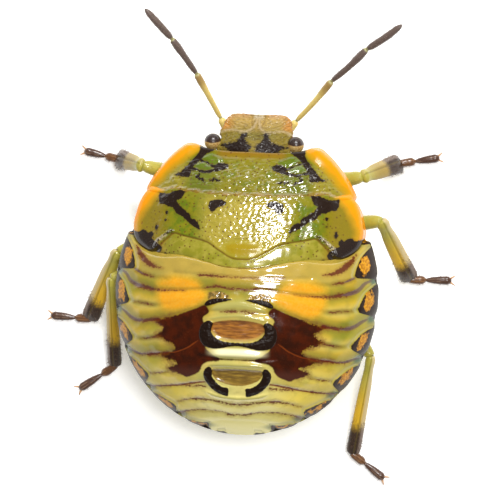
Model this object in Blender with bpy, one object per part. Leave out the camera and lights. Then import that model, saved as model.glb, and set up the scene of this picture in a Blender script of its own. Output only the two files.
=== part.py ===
"""A shield bug nymph in its fourth stage, life size, standing on its six feet.

Everything is modelled in millimetres, with the bug facing +Y and its right side at +X. One empty, life_size,
then brings it to metres, turns the head to -Y, and moves the middle of its footprint to the origin.
"""

import math

import bmesh
import bpy
from mathutils import Euler, Matrix, Vector

# Driving sizes, in millimetres.
GAP = 0.25  # clear space between two touching pieces
LIMB = 0.25  # least radius of a leg, feeler or beak in these solids
BELLY_GRID = (72, 40)  # points round the abdomen, and rows along it
THORAX_GRID = (56, 12)
HEAD_GRID = (44, 14)
LIMB_BEVEL = 3  # bevel resolution of the limbs, 10 sides

HEAD_TIP = 4.93  # how far forward the head reaches
HEAD_REAR = 3.98
NOSE_DIP = 0.06  # the middle lobe of the head ends a little behind the two cheek plates
EYE_REACH = Vector((0.27, 0.23, 0.24))  # half the eye's width, length and height
EYE_SPOT = Vector((1.13, 4.12, 1.80))
EYE_FACE = 1.06  # the flat inner side of the eye

COLLAR = 3.73  # front edge of the shield behind the head
SHOULDER_TIP = 4.06  # the orange front corners beside the eyes
SHOULDER_IN = 1.50
SHOULDER_OUT = 1.70
SHIELD_REAR = 2.73

PAD_TIP = 0.94  # the wing pads' rear ends
PAD_TIP_X = 2.72
PAD_BEND = 1.1  # how fast the pads' ends curve forward
CORNER_SLOPE = 0.9  # the abdomen's front corners, which reach forward past the pads
CORNER_BEND = 1.3
WAIST_MID = 0.50  # rear edge of the thorax on the midline
WAIST_RISE = 0.10  # how fast that edge sweeps forward towards the sides

BELLY_HALF = 3.65  # half the width of the abdomen
BELLY_CENTRE = -0.15
BELLY_REAR = 3.86  # from the centre to the tail
BELLY_FRONT = 3.60

# Heights above the floor along the body: place on the midline, edge, top, underside.
PROFILE = (
    (-4.01, 2.06, 2.06, 2.06),
    (-3.80, 2.06, 2.62, 1.60),
    (-3.40, 2.06, 3.16, 1.26),
    (-2.80, 2.05, 3.62, 1.00),
    (-2.00, 2.05, 3.98, 0.84),
    (-1.10, 2.05, 4.18, 0.78),
    (-0.30, 2.05, 4.20, 0.84),
    (0.50, 2.05, 4.06, 0.98),
    (1.20, 2.03, 3.82, 1.10),
    (1.90, 2.00, 3.56, 1.14),
    (2.68, 1.96, 3.20, 1.15),
    (3.30, 1.92, 2.78, 1.12),
    (3.90, 1.86, 2.30, 1.05),
    (4.30, 1.62, 2.00, 0.98),
    (4.60, 1.44, 1.72, 1.02),
    (4.93, 1.32, 1.42, 1.16),
)
CROWN = 1.3  # above 1, the back leaves the edge at a lower slope
KEEL = 2.2  # the same for the underside
GLANDS = ((-0.33, 0.95, 0.18), (-1.12, 1.05, 0.34), (-2.31, 0.92, 0.30))  # place, half width, half length
GLAND_RISE = 0.07
LOBE = (0.95, 1.10, 0.62)  # the scutellum's smooth lobe: place, half width, half length
LOBE_RISE = 0.06
MARGIN_RISE = 0.10  # the swollen orange side margins of the thorax

# Half the width of the thorax and of the head at places along the body.
THORAX_OUTLINE = (
    (0.94, 2.78), (1.10, 2.96), (1.35, 3.14), (1.65, 3.22), (2.10, 3.12), (2.45, 2.98), (2.73, 2.88), (3.00, 2.80),
    (3.30, 2.62), (3.60, 2.38), (3.85, 2.10), (4.00, 1.86), (4.06, 1.70),
)
HEAD_OUTLINE = (
    (3.98, 0.84), (4.10, 0.84), (4.32, 0.86), (4.44, 1.00), (4.60, 0.97), (4.76, 0.93), (4.87, 0.82), (4.93, 0.64),
)

COXA = {"front": (0.86, 2.86), "middle": (1.02, 1.70), "hind": (1.12, 0.78)}  # where each pair of hips sits
COXA_REACH = Vector((0.34, 0.30, 0.27))  # half the hip's width, length and height

# Knee, ankle and claw tip of each leg, as in the photograph's pose.
LEGS = {
    ("front", "right"): ((3.06, 3.30, 1.56), (4.00, 3.74), (5.16, 3.96)),
    ("front", "left"): ((-3.14, 3.36, 1.60), (-3.99, 3.53), (-5.05, 3.74)),
    ("middle", "right"): ((3.66, 2.09, 1.82), (4.42, 0.48), (5.65, 0.51)),
    ("middle", "left"): ((-3.74, 0.92, 1.60), (-4.60, -1.03), (-5.80, -0.97)),
    ("hind", "right"): ((3.50, -1.70, 1.30), (3.01, -4.49), (3.98, -5.20)),
    ("hind", "left"): ((-3.92, 0.16, 1.36), (-3.82, -2.32), (-4.89, -3.06)),
}
THIGH_SAG = ((0.28, 0.04), (0.62, 0.06))  # place along the thigh, and how far it hangs below a straight line
SHIN_STOPS = (0.4, 0.75)
ANKLE_HEIGHT = 0.25
END_WIDTH = 0.6  # a limb's end face as a share of its width
END_LENGTH = 0.45  # how far back from its end a limb has its full width
SOLE_CUT = 0.03  # the feet are cut flat this far above the bottom of their round
CLAW_SPREAD = 0.16
CLAW_LENGTH = 0.24
CLAW_HEIGHT = 0.07
CLAW_ROOT = 0.10  # the claws' radius where they leave the foot
CLAW_TIP = 0.03
# The two lengths of a foot: place along it, and width as a share of LIMB.
FOOT = (
    (0.12, 0.6), (0.20, 0.95), (0.38, 1.0), (0.50, 0.86), (0.56, 0.72), (0.64, 0.9), (0.82, 1.0), (0.94, 0.9),
    (1.0, 0.6),
)

# Joints of each feeler: root, and the ends of its four lengths.
FEELERS = {
    "right": ((1.00, 4.42, 1.00), (1.30, 4.84, 1.15), (2.10, 5.92, 1.95), (3.10, 6.83, 2.60), (4.08, 7.52, 3.10)),
    "left": ((-1.00, 4.42, 1.00), (-1.28, 4.88, 1.15), (-1.69, 5.98, 1.95), (-2.35, 6.90, 2.60), (-3.08, 7.68, 3.10)),
}
FEELER_NECK = 0.8  # width at the joints, as a share of LIMB
FEELER_SWELL = (0.14, 0.85)  # each length has its full width between these places
BEAK = ((0, 4.56, 0.62), (0, 4.2, 0.50), (0, 3.3, 0.46), (0, 2.2, 0.42), (0, 1.2, 0.40))

COLOURS = {
    "shell_green": ((0.42, 0.45, 0.07), 0.28),
    "belly_green": ((0.50, 0.52, 0.16), 0.25),
    "head_tan": ((0.45, 0.36, 0.14), 0.4),
    "eye_dark": ((0.05, 0.03, 0.02), 0.15),
    "leg_green": ((0.52, 0.50, 0.14), 0.35),
    "foot_brown": ((0.10, 0.05, 0.02), 0.35),
    "feeler_brown": ((0.22, 0.15, 0.10), 0.5),
}


def clear_scene():
    for old in list(bpy.data.objects):
        bpy.data.objects.remove(old)


def material(name):
    """A Principled BSDF with the piece's colour and roughness."""
    made = bpy.data.materials.get(name)
    if made is None:
        colour, roughness = COLOURS[name]
        made = bpy.data.materials.new(name)
        made.use_nodes = True
        shader = made.node_tree.nodes["Principled BSDF"]
        shader.inputs["Base Color"].default_value = (*colour, 1.0)
        shader.inputs["Roughness"].default_value = roughness
        shader.inputs["Metallic"].default_value = 0.0
    return made


def add_object(name, mesh, finish, collection, root):
    """A named, smooth-shaded object that hangs on the root empty."""
    obj = bpy.data.objects.new(name, mesh)
    mesh.materials.clear()
    mesh.materials.append(material(finish))
    mesh.shade_smooth()
    mesh.set_sharp_from_angle(angle=math.radians(50))
    collection.objects.link(obj)
    obj.parent = root
    return obj


def to_mesh(name, bm):
    bmesh.ops.recalc_face_normals(bm, faces=bm.faces)
    mesh = bpy.data.meshes.new(name)
    bm.to_mesh(mesh)
    bm.free()
    return mesh


def along(points, place, column):
    """A smooth curve through the rows of points, read at place."""
    rows = sorted(points)
    place = min(max(place, rows[0][0]), rows[-1][0])
    for i in range(len(rows) - 1):
        if place <= rows[i + 1][0]:
            break
    before, low, high, after = rows[max(i - 1, 0)], rows[i], rows[i + 1], rows[min(i + 2, len(rows) - 1)]
    span = high[0] - low[0]
    t = (place - low[0]) / span

    def slope(a, b):
        return (b[column] - a[column]) / (b[0] - a[0]) * span

    # The flatter of the two neighbouring slopes keeps the curve from overshooting.
    middle = slope(low, high)
    start = slope(before, high) if before is not low else middle
    finish = slope(low, after) if after is not high else middle
    rise = t * t * (3 - 2 * t)
    return (
        low[column] * (1 - rise)
        + high[column] * rise
        + start * t * (1 - t) ** 2
        - finish * t * t * (1 - t)
    )


def soft_step(low, high, value):
    t = min(max((value - low) / (high - low), 0.0), 1.0)
    return t * t * (3 - 2 * t)


def plate_rise(x, y):
    """The three scent gland plates and the scutellum's lobe stand a little proud of the back."""
    rise = 0.0
    raised = [(plate, GLAND_RISE) for plate in GLANDS] + [(LOBE, LOBE_RISE)]
    for (place, half_width, half_length), height in raised:
        reach = math.hypot(x / half_width, (y - place) / half_length)
        rise = max(rise, height * (1 - soft_step(0.75, 1.15, reach)))
    return rise


def half_width(outline, row):
    """Where a row of points, y = row(x), meets the outline, half width = outline(y)."""
    x = 2.0
    for _ in range(40):
        x = 0.5 * (x + outline(row(x)))
    return x


def ring(sides, outline, row, swell=0.0):
    """One cross-section along y = row(x), from the right edge over the back and round under the belly."""
    points = []
    half = half_width(outline, row)
    for i in range(sides):
        angle = 2 * math.pi * i / sides
        x = half * math.cos(angle)
        y = row(abs(x))
        edge, top, under = (along(PROFILE, row(0.0), column) for column in (1, 2, 3))
        edge = along(PROFILE, y, 1)
        rise = abs(math.sin(angle))
        if math.sin(angle) >= 0:
            rim = swell * soft_step(0.0, 0.3, rise) * (1 - soft_step(0.35, 0.62, rise))
            z = edge + (top - edge) * rise**CROWN + rim + plate_rise(x, y) * soft_step(0.3, 0.6, rise)
        else:
            z = edge - (edge - under) * rise**KEEL
        points.append(Vector((x, y, z)))
    return points


def loft(name, rings, pole=None):
    """Joins the rings into one closed surface. Each end is a wall from back to belly, or closes on the pole."""
    bm = bmesh.new()
    sides = len(rings[0])
    rows = [[bm.verts.new(p) for p in points] for points in rings]
    for first, second in zip(rows, rows[1:]):
        for i in range(sides):
            j = (i + 1) % sides
            bm.faces.new((first[i], first[j], second[j], second[i]))
    walls = [rows[0]] if pole is not None else [rows[0], rows[-1]]
    if pole is not None:
        tip = bm.verts.new(pole)
        for i in range(sides):
            bm.faces.new((rows[-1][i], rows[-1][(i + 1) % sides], tip))
    for row in walls:
        # The point at i on the back stands over the point at sides - i on the belly.
        for i in range(sides // 2):
            corners = [row[i], row[i + 1], row[sides - i - 1], row[(sides - i) % sides]]
            bm.faces.new(list(dict.fromkeys(corners)))
    bmesh.ops.triangulate(bm, faces=[f for f in bm.faces if len(f.verts) > 3])
    return to_mesh(name, bm)


def waist(x):
    """Rear edge of the thorax seen from above: a shallow bow, then the lobe of the wing pad."""
    bow = WAIST_MID + WAIST_RISE * x * x
    lobe = PAD_TIP + PAD_BEND * (PAD_TIP_X - x) ** 2
    blend = soft_step(2.15, 2.6, x)
    return bow * (1 - blend) + lobe * blend


def belly_front(x):
    """Front edge of the abdomen, a gap behind the waist, with a corner that reaches forward past the wing pad."""
    return waist(min(x, PAD_TIP_X)) - GAP + CORNER_SLOPE * max(x - PAD_TIP_X, 0.0) ** CORNER_BEND


def shield_front(x):
    """Front edge of the first shield: straight behind the head, with corners that reach past the eyes."""
    return COLLAR + (SHOULDER_TIP - COLLAR) * soft_step(SHOULDER_IN, SHOULDER_OUT, x)


def thorax_outline(y):
    return along(THORAX_OUTLINE, y, 1)


def head_outline(y):
    return along(HEAD_OUTLINE, y, 1)


def belly_outline(y):
    reach = (y - BELLY_CENTRE) / (BELLY_REAR if y < BELLY_CENTRE else BELLY_FRONT)
    return BELLY_HALF * math.sqrt(max(1 - reach * reach, 0.0))


def abdomen_mesh():
    rings = []
    sides, steps = BELLY_GRID
    tail = BELLY_CENTRE - BELLY_REAR
    front = belly_front(0.0)
    for step in range(steps):
        turn = step / steps
        # Rows crowd together towards the tail, where the outline turns, and lose the bow of the front edge.
        station = front + (tail - front) * math.sin(turn * math.pi / 2)
        held = (1 - turn) ** 1.6
        rings.append(ring(sides, belly_outline, lambda x: station + held * (belly_front(x) - front)))
    pole = Vector((0, tail, along(PROFILE, tail, 1)))
    return loft("abdomen", rings, pole)


def rear_thorax_mesh():
    """The second and third shields, which carry the wing pads and the first hint of a scutellum."""
    rings = []
    sides, steps = THORAX_GRID
    front = SHIELD_REAR - GAP
    for step in range(steps + 1):
        turn = step / steps
        rings.append(ring(sides, thorax_outline, lambda x: front + (waist(x) - front) * turn, MARGIN_RISE))
    return loft("rear_thorax", rings)


def front_thorax_mesh():
    rings = []
    sides, steps = THORAX_GRID
    for step in range(steps + 1):
        turn = math.sin(step / steps * math.pi / 2)
        row = lambda x: SHIELD_REAR + (shield_front(x) - SHIELD_REAR) * turn
        rings.append(ring(sides, thorax_outline, row, MARGIN_RISE))
    return loft("front_thorax", rings)


def head_mesh():
    rings = []
    sides, steps = HEAD_GRID
    for step in range(steps + 1):
        turn = math.sin(step / steps * math.pi / 2)
        station = HEAD_REAR + (HEAD_TIP - HEAD_REAR) * turn
        dip = NOSE_DIP * turn**4
        rings.append(ring(sides, head_outline, lambda x: station - dip * (1 - soft_step(0.1, 0.3, x))))
    return loft("head", rings)


def eye_mesh(side):
    """A ball with its inner side cut flat, facing the side of the head."""
    bm = bmesh.new()
    bmesh.ops.create_uvsphere(bm, u_segments=20, v_segments=12, radius=1.0)
    bmesh.ops.rotate(bm, verts=bm.verts, cent=(0, 0, 0), matrix=Matrix.Rotation(math.pi / 2, 3, "Y"))
    bmesh.ops.scale(bm, verts=bm.verts, vec=EYE_REACH)
    bmesh.ops.translate(bm, verts=bm.verts, vec=EYE_SPOT)
    bmesh.ops.bisect_plane(
        bm,
        geom=bm.verts[:] + bm.edges[:] + bm.faces[:],
        plane_co=(EYE_FACE, 0, 0),
        plane_no=(-1, 0, 0),
        clear_outer=True,
    )
    bmesh.ops.holes_fill(bm, edges=bm.edges, sides=0)
    if side == "left":
        bmesh.ops.scale(bm, verts=bm.verts, vec=(-1, 1, 1))
    return to_mesh("eye_" + side, bm)


def tube_mesh(name, stops):
    """A limb as a curve with a bevel. Each stop is a point and the radius there."""
    curve = bpy.data.curves.new(name, "CURVE")
    curve.dimensions = "3D"
    curve.bevel_depth = 1.0
    curve.bevel_resolution = LIMB_BEVEL
    curve.use_fill_caps = True
    spline = curve.splines.new("POLY")
    spline.points.add(len(stops) - 1)
    for point, (place, radius) in zip(spline.points, stops):
        point.co = (*place, 1.0)
        point.radius = radius
    guide = bpy.data.objects.new(name + "_curve", curve)
    bpy.context.scene.collection.objects.link(guide)
    bpy.context.view_layer.update()
    graph = bpy.context.evaluated_depsgraph_get()
    mesh = bpy.data.meshes.new_from_object(guide.evaluated_get(graph))
    bm = bmesh.new()
    bm.from_mesh(mesh)
    bmesh.ops.remove_doubles(bm, verts=bm.verts, dist=0.0001)
    bpy.data.objects.remove(guide)
    return to_mesh(name, bm)


def rounded(places, radii):
    """Stops along places, with both ends drawn in to small flats that face the next piece."""
    places = [Vector(p) for p in places]
    first = (places[1] - places[0]).normalized()
    last = (places[-1] - places[-2]).normalized()
    start = (places[0] + first * radii[0] * END_LENGTH, radii[0])
    end = (places[-1] - last * radii[-1] * END_LENGTH, radii[-1])
    middle = list(zip(places[1:-1], radii[1:-1]))
    return [(places[0], radii[0] * END_WIDTH), start, *middle, end, (places[-1], radii[-1] * END_WIDTH)]


def joint_room(first, second):
    """How far from a joint's middle two limbs end, so that a gap stays between them at the angle they make."""
    half = first.angle(second) / 2
    return (GAP / 2 + LIMB * END_WIDTH * 1.1 * math.cos(half)) / math.sin(half)


def joined(name, pieces, cutters=()):
    """One closed mesh from overlapping pieces: a Boolean union, then the cuts."""
    host = bpy.data.objects.new(name + "_host", pieces[0])
    bpy.context.scene.collection.objects.link(host)
    helpers = [host]
    for operation, meshes in (("UNION", pieces[1:]), ("DIFFERENCE", cutters)):
        if not meshes:
            continue
        group = bpy.data.collections.new(name + "_" + operation.lower())
        bpy.context.scene.collection.children.link(group)
        for mesh in meshes:
            helper = bpy.data.objects.new(mesh.name, mesh)
            group.objects.link(helper)
            helpers.append(helper)
        modifier = host.modifiers.new(operation, "BOOLEAN")
        modifier.operation = operation
        modifier.operand_type = "COLLECTION"
        modifier.collection = group
    bpy.context.view_layer.update()
    graph = bpy.context.evaluated_depsgraph_get()
    mesh = bpy.data.meshes.new_from_object(host.evaluated_get(graph))
    mesh.name = name
    for helper in helpers:
        bpy.data.objects.remove(helper)
    for group in [g for g in bpy.data.collections if g.name.startswith(name + "_")]:
        bpy.data.collections.remove(group)
    return mesh


def box_mesh(name, centre, size):
    bm = bmesh.new()
    bmesh.ops.create_cube(bm, size=1.0)
    bmesh.ops.scale(bm, verts=bm.verts, vec=size)
    bmesh.ops.translate(bm, verts=bm.verts, vec=centre)
    return to_mesh(name, bm)


def ball_mesh(name, centre, reach):
    bm = bmesh.new()
    bmesh.ops.create_uvsphere(bm, u_segments=14, v_segments=9, radius=1.0)
    bmesh.ops.scale(bm, verts=bm.verts, vec=reach)
    bmesh.ops.translate(bm, verts=bm.verts, vec=centre)
    return to_mesh(name, bm)


def cone_mesh(name, start, end, radius, tip):
    """A tapered peg from start to end."""
    bm = bmesh.new()
    length = (end - start).length
    bmesh.ops.create_cone(bm, cap_ends=True, segments=8, radius1=radius, radius2=tip, depth=length)
    turn = (end - start).to_track_quat("Z", "Y").to_matrix().to_4x4()
    bmesh.ops.transform(bm, verts=bm.verts, matrix=Matrix.Translation((start + end) / 2) @ turn)
    return to_mesh(name, bm)


def leg_meshes(pair, side):
    """Thigh with its hip joint, shin, and foot with two claws, each a closed mesh of its own."""
    knee, ankle, claw = LEGS[pair, side]
    sign = 1 if side == "right" else -1
    hip_x, hip_y = COXA[pair]
    hip = Vector((sign * hip_x, hip_y, along(PROFILE, hip_y, 3) - GAP - COXA_REACH.z))
    knee = Vector(knee)
    ankle = Vector((*ankle, ANKLE_HEIGHT))
    claw = Vector((*claw, 0.0))
    name = f"leg_{pair}_{side}"

    thigh = (knee - hip).normalized()
    shin = (ankle - knee).normalized()
    foot = Vector((claw.x - ankle.x, claw.y - ankle.y, 0)).normalized()
    knee_room = joint_room(-thigh, shin)
    middle = [hip.lerp(knee, place) - Vector((0, 0, sag)) for place, sag in THIGH_SAG]
    thigh_places = [hip, *middle, knee - thigh * knee_room]
    limb = tube_mesh(name + "_limb", rounded(thigh_places, [LIMB] * 4))
    femur = joined(name + "_femur", [limb, ball_mesh(name + "_hip", hip, COXA_REACH)])
    middle = [knee.lerp(ankle, place) for place in SHIN_STOPS]
    shin_places = [knee + shin * knee_room, *middle, ankle - shin * joint_room(-shin, foot)]
    tibia = tube_mesh(name + "_tibia", rounded(shin_places, [LIMB] * 4))

    across = Vector((foot.y, -foot.x, 0))
    length = (Vector((claw.x, claw.y, 0)) - Vector((ankle.x, ankle.y, 0))).length
    root = Vector((ankle.x, ankle.y, LIMB - SOLE_CUT))
    end = length - CLAW_LENGTH
    toe = tube_mesh(name + "_toe", [(root + foot * (end * reach), LIMB * width) for reach, width in FOOT])
    claws = []
    for way in (-1, 1):
        start = root + foot * (end - CLAW_ROOT) + across * (way * CLAW_ROOT / 2)
        tip = Vector((claw.x, claw.y, CLAW_HEIGHT)) + across * (way * CLAW_SPREAD)
        claws.append(cone_mesh(f"{name}_claw_{way}", start, tip, CLAW_ROOT, CLAW_TIP))
    floor = box_mesh(name + "_floor", Vector((ankle.x, ankle.y, -1)), (6, 6, 2))
    tarsus = joined(name + "_tarsus", [toe, *claws], [floor])
    return {"femur": femur, "tibia": tibia, "tarsus": tarsus}


def feeler_mesh(side):
    """A short root and three long lengths, with a narrow joint between each two."""
    places = [Vector(p) for p in FEELERS[side]]
    neck = LIMB * FEELER_NECK
    stops = [(places[0], LIMB * END_WIDTH), (places[0].lerp(places[1], 0.5), neck)]
    for start, end in zip(places[1:], places[2:]):
        stops.append((start, neck))
        stops += [(start.lerp(end, swell), LIMB) for swell in FEELER_SWELL]
    stops.append((places[-1], LIMB * END_WIDTH / 2))
    return tube_mesh("antenna_" + side, stops)


def beak_mesh():
    """The jointed sucking beak, folded back under the body between the legs."""
    places = [Vector(p) for p in BEAK]
    return tube_mesh("beak", rounded(places, [LIMB, LIMB, LIMB, LIMB * 0.95, LIMB * 0.7]))


def centre_on_floor(root, pieces):
    """Moves the root so that the middle of the footprint is at the origin and the feet are at height 0."""
    bpy.context.view_layer.update()
    corners = [piece.matrix_world @ v.co for piece in pieces for v in piece.data.vertices]
    low = Vector([min(c[axis] for c in corners) for axis in range(3)])
    high = Vector([max(c[axis] for c in corners) for axis in range(3)])
    root.location = (-(low.x + high.x) / 2, -(low.y + high.y) / 2, -low.z)


def main():
    clear_scene()
    collection = bpy.data.collections.new("shield_bug")
    bpy.context.scene.collection.children.link(collection)
    root = bpy.data.objects.new("life_size", None)
    collection.objects.link(root)
    root.scale = (0.001, 0.001, 0.001)
    root.rotation_euler = Euler((0, 0, math.pi))

    pieces = [
        add_object("head", head_mesh(), "head_tan", collection, root),
        add_object("front_thorax", front_thorax_mesh(), "shell_green", collection, root),
        add_object("rear_thorax", rear_thorax_mesh(), "shell_green", collection, root),
        add_object("abdomen", abdomen_mesh(), "belly_green", collection, root),
        add_object("beak", beak_mesh(), "leg_green", collection, root),
    ]
    for side in ("left", "right"):
        pieces.append(add_object("eye_" + side, eye_mesh(side), "eye_dark", collection, root))
        pieces.append(add_object("antenna_" + side, feeler_mesh(side), "feeler_brown", collection, root))
    for pair, side in LEGS:
        finishes = {"femur": "leg_green", "tibia": "leg_green", "tarsus": "foot_brown"}
        for part, mesh in leg_meshes(pair, side).items():
            pieces.append(add_object(f"leg_{pair}_{side}_{part}", mesh, finishes[part], collection, root))
    centre_on_floor(root, pieces)


main()
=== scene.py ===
# %% [markdown]
# # A green stink bug nymph, life size and standing still
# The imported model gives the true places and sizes. This file dresses it: each body part gets a
# finely modelled skin that stands in the same place, with procedural colours and gloss.
# The solids stay as they are for collision and only hide behind their skins.

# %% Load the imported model
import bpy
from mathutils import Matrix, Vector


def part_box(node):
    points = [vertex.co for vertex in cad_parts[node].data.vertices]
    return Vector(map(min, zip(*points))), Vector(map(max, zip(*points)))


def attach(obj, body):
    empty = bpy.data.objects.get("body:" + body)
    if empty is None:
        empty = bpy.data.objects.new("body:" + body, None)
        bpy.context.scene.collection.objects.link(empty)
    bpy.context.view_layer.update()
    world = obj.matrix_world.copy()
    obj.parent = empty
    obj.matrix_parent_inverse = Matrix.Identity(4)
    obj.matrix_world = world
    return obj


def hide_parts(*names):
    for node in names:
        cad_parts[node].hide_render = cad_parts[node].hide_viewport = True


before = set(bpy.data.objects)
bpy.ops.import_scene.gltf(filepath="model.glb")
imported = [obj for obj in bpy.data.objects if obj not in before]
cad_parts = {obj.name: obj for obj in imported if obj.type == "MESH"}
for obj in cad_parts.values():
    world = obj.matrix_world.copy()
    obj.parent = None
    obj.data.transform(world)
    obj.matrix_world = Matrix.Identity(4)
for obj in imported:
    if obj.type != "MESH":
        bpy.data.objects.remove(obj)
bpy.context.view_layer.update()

# %% [markdown]
# The bug is easiest to describe in millimetres in its own frame: x to its right, y towards its
# head, z up from the floor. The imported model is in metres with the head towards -Y, so a point is
# turned half a turn and scaled. The abdomen's box shows where the bug's middle line and tail lie.

# %% From the bug's millimetres to metres
import math

import bpy
import numpy as np

MM = 0.001
TAIL = -4.01  # the tail's place on the bug's long axis
low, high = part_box("abdomen")
MIDDLE_X = (low[0] + high[0]) / 2
ZERO_Y = high[1] + TAIL * MM


def to_metres(points):
    """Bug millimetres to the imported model's metres."""
    x, y, z = np.moveaxis(np.asarray(points, dtype=float) * MM, -1, 0)
    return np.stack([MIDDLE_X - x, ZERO_Y - y, z], axis=-1)


print("middle line at x =", round(MIDDLE_X, 6), "and bug zero at y =", round(ZERO_Y, 6))

# %% [markdown]
# Every form below comes from a few measured places with a smooth line through them. A cubic piece
# between each two places, with slopes taken from the neighbours, gives rounded outlines and
# reads thousands of places at once.

# %% Smooth lines and steps


class Curve:
    """A smooth line through rows of (place, value), read at any places."""

    def __init__(self, rows, column=1):
        rows = sorted(rows)
        self.at = np.array([row[0] for row in rows], dtype=float)
        self.value = np.array([row[column] for row in rows], dtype=float)
        self.slope = np.gradient(self.value, self.at)

    def __call__(self, place):
        place = np.clip(place, self.at[0], self.at[-1])
        i = np.clip(np.searchsorted(self.at, place) - 1, 0, len(self.at) - 2)
        span = self.at[i + 1] - self.at[i]
        t = (place - self.at[i]) / span
        rise = t * t * (3 - 2 * t)
        start = self.slope[i] * span * t * (1 - t) ** 2
        finish = self.slope[i + 1] * span * t * t * (1 - t)
        return self.value[i] * (1 - rise) + self.value[i + 1] * rise + start - finish


def step(low, high, value):
    """0 below low, 1 above high, and a soft slope between."""
    t = np.clip((value - low) / (high - low), 0.0, 1.0)
    return t * t * (3 - 2 * t)


def bell(value, width):
    """1 where value is 0, falling off softly over width."""
    return np.exp(-((value / width) ** 2))


# %% [markdown]
# Seen from the side the back rises from the nose to a hump over the abdomen and drops to the
# tail. Four columns of numbers give the place along the body, the height of the side edge, of the
# back's middle line and of the underside. They are the same numbers as in the solids.

# %% The body's side view
PROFILE = (
    (-4.01, 2.06, 2.06, 2.06), (-3.80, 2.06, 2.62, 1.60), (-3.40, 2.06, 3.16, 1.26),
    (-2.80, 2.05, 3.62, 1.00), (-2.00, 2.05, 3.98, 0.84), (-1.10, 2.05, 4.18, 0.78),
    (-0.30, 2.05, 4.20, 0.84), (0.50, 2.05, 4.06, 0.98), (1.20, 2.03, 3.82, 1.10), (1.90, 2.00, 3.56, 1.14),
    (2.68, 1.96, 3.20, 1.15), (3.30, 1.92, 2.78, 1.12), (3.90, 1.86, 2.30, 1.05), (4.30, 1.62, 2.00, 0.98),
    (4.60, 1.44, 1.72, 1.02), (4.93, 1.32, 1.42, 1.16),
)
edge_height, back_height, under_height = (Curve(PROFILE, column) for column in (1, 2, 3))
CROWN = 1.3  # above 1, the back leaves the edge at a lower slope
KEEL = 2.2  # the same for the underside
SETTLE = 60  # steps until a ring's width and the outline agree
print("highest place of the back, mm:", back_height(-0.4))

# %% [markdown]
# Each body part is a stack of rings. A ring follows a line across the body, runs from the right
# edge over the back to the left edge and returns under the belly. The points stand closer at the
# edges, where the skin turns fastest. A ring is as wide as the outline where it meets it.

# %% Rings of skin


def body_rings(row, outline, turns, over=300, below=110):
    """Points of shape (rings, columns, 3), and which columns lie on the back."""
    turn = np.asarray(turns, dtype=float)[:, None]
    half = np.full_like(turn, 2.0)
    for _ in range(SETTLE):
        half = 0.5 * (half + outline(row(turn, half)))
    back = np.linspace(0, 1, over, endpoint=False)
    belly = np.linspace(0, 1, below, endpoint=False)
    across = np.concatenate([
        0.6 * np.cos(np.pi * back) + 0.4 * (1 - 2 * back),
        -0.6 * np.cos(np.pi * belly) - 0.4 * (1 - 2 * belly),
    ])
    on_back = np.arange(over + below) < over
    x = half * across
    y = row(turn, np.abs(x))
    middle = row(turn, np.zeros_like(turn))
    rise = np.sqrt(np.clip(1 - across**2, 0, 1)) * np.ones_like(x)
    edge = edge_height(y)
    top = edge + (back_height(middle) - edge) * rise**CROWN
    bottom = edge - (edge - under_height(middle)) * rise**KEEL
    return np.stack([x, y, np.where(on_back, top, bottom)], axis=-1), on_back


def outward(rings):
    """The direction away from the body at each point."""
    ahead = np.gradient(rings, axis=0)
    around = np.roll(rings, -1, axis=1) - np.roll(rings, 1, axis=1)
    normal = np.cross(ahead, around)
    normal /= np.linalg.norm(normal, axis=-1, keepdims=True) + 1e-12
    away = np.sum(normal * (rings - rings.mean(axis=1, keepdims=True)))
    return normal if away > 0 else -normal


# %% [markdown]
# A body part's mesh holds more than its shape: named numbers at each point say how deep the point
# lies inside a black mark, an orange margin or a groove. Materials read them later, so
# marks keep sharp edges however the light falls. The class below gathers closed tubes of rings
# with those numbers and makes one mesh, with all faces turned outwards.

# %% From rings to a mesh


class Clay:
    """Closed tubes of rings that become one mesh, with named numbers at their points."""

    def __init__(self):
        self.points = []
        self.faces = []
        self.values = []
        self.count = 0

    def add(self, rings, **values):
        """Rings of shape (rings, columns, 3), closed with a fan at both ends."""
        rows, columns = rings.shape[:2]
        index = self.count + np.arange(rows * columns).reshape(rows, columns)
        beside = np.roll(index, -1, axis=1)
        quads = np.stack([index[:-1], beside[:-1], beside[1:], index[1:]], axis=-1).reshape(-1, 4)
        start, end = self.count + rows * columns, self.count + rows * columns + 1
        fans = [(start, b, a) for a, b in zip(index[0], beside[0])]
        fans += [(end, a, b) for a, b in zip(index[-1], beside[-1])]
        points = np.concatenate([rings.reshape(-1, 3), [rings[0].mean(axis=0), rings[-1].mean(axis=0)]])
        a, b, c, d = (points[quads[:, k] - self.count] - points.mean(axis=0) for k in range(4))
        volume = np.sum(a * np.cross(b, c)) + np.sum(a * np.cross(c, d))
        turned = -1 if volume < 0 else 1
        self.faces += [tuple(face[::turned]) for face in quads.tolist() + fans]
        self.points.append(points)
        self.values.append((len(points), {"spot": rings, **values}))
        self.count += len(points)

    def mesh(self, name):
        """The finished mesh, in metres."""
        mesh = bpy.data.meshes.new(name)
        mesh.from_pydata(to_metres(np.concatenate(self.points)), [], self.faces)
        for key in sorted({key for _, values in self.values for key in values}):
            width = 3 if key == "spot" else 1
            parts = []
            for count, values in self.values:
                shape = values["spot"].shape[:2]
                grid = np.broadcast_to(values.get(key, 0.0), (*shape, width) if width == 3 else shape)
                grid = grid.reshape(*shape, width)
                ends = [grid[0].mean(axis=0), grid[-1].mean(axis=0)]
                parts.append(np.concatenate([grid.reshape(-1, width), ends]))
            kind, field = ("FLOAT_VECTOR", "vector") if width == 3 else ("FLOAT", "value")
            layer = mesh.attributes.new(key, kind, "POINT")
            layer.data.foreach_set(field, np.concatenate(parts).astype(np.float32).ravel())
        mesh.shade_smooth()
        return mesh


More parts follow.
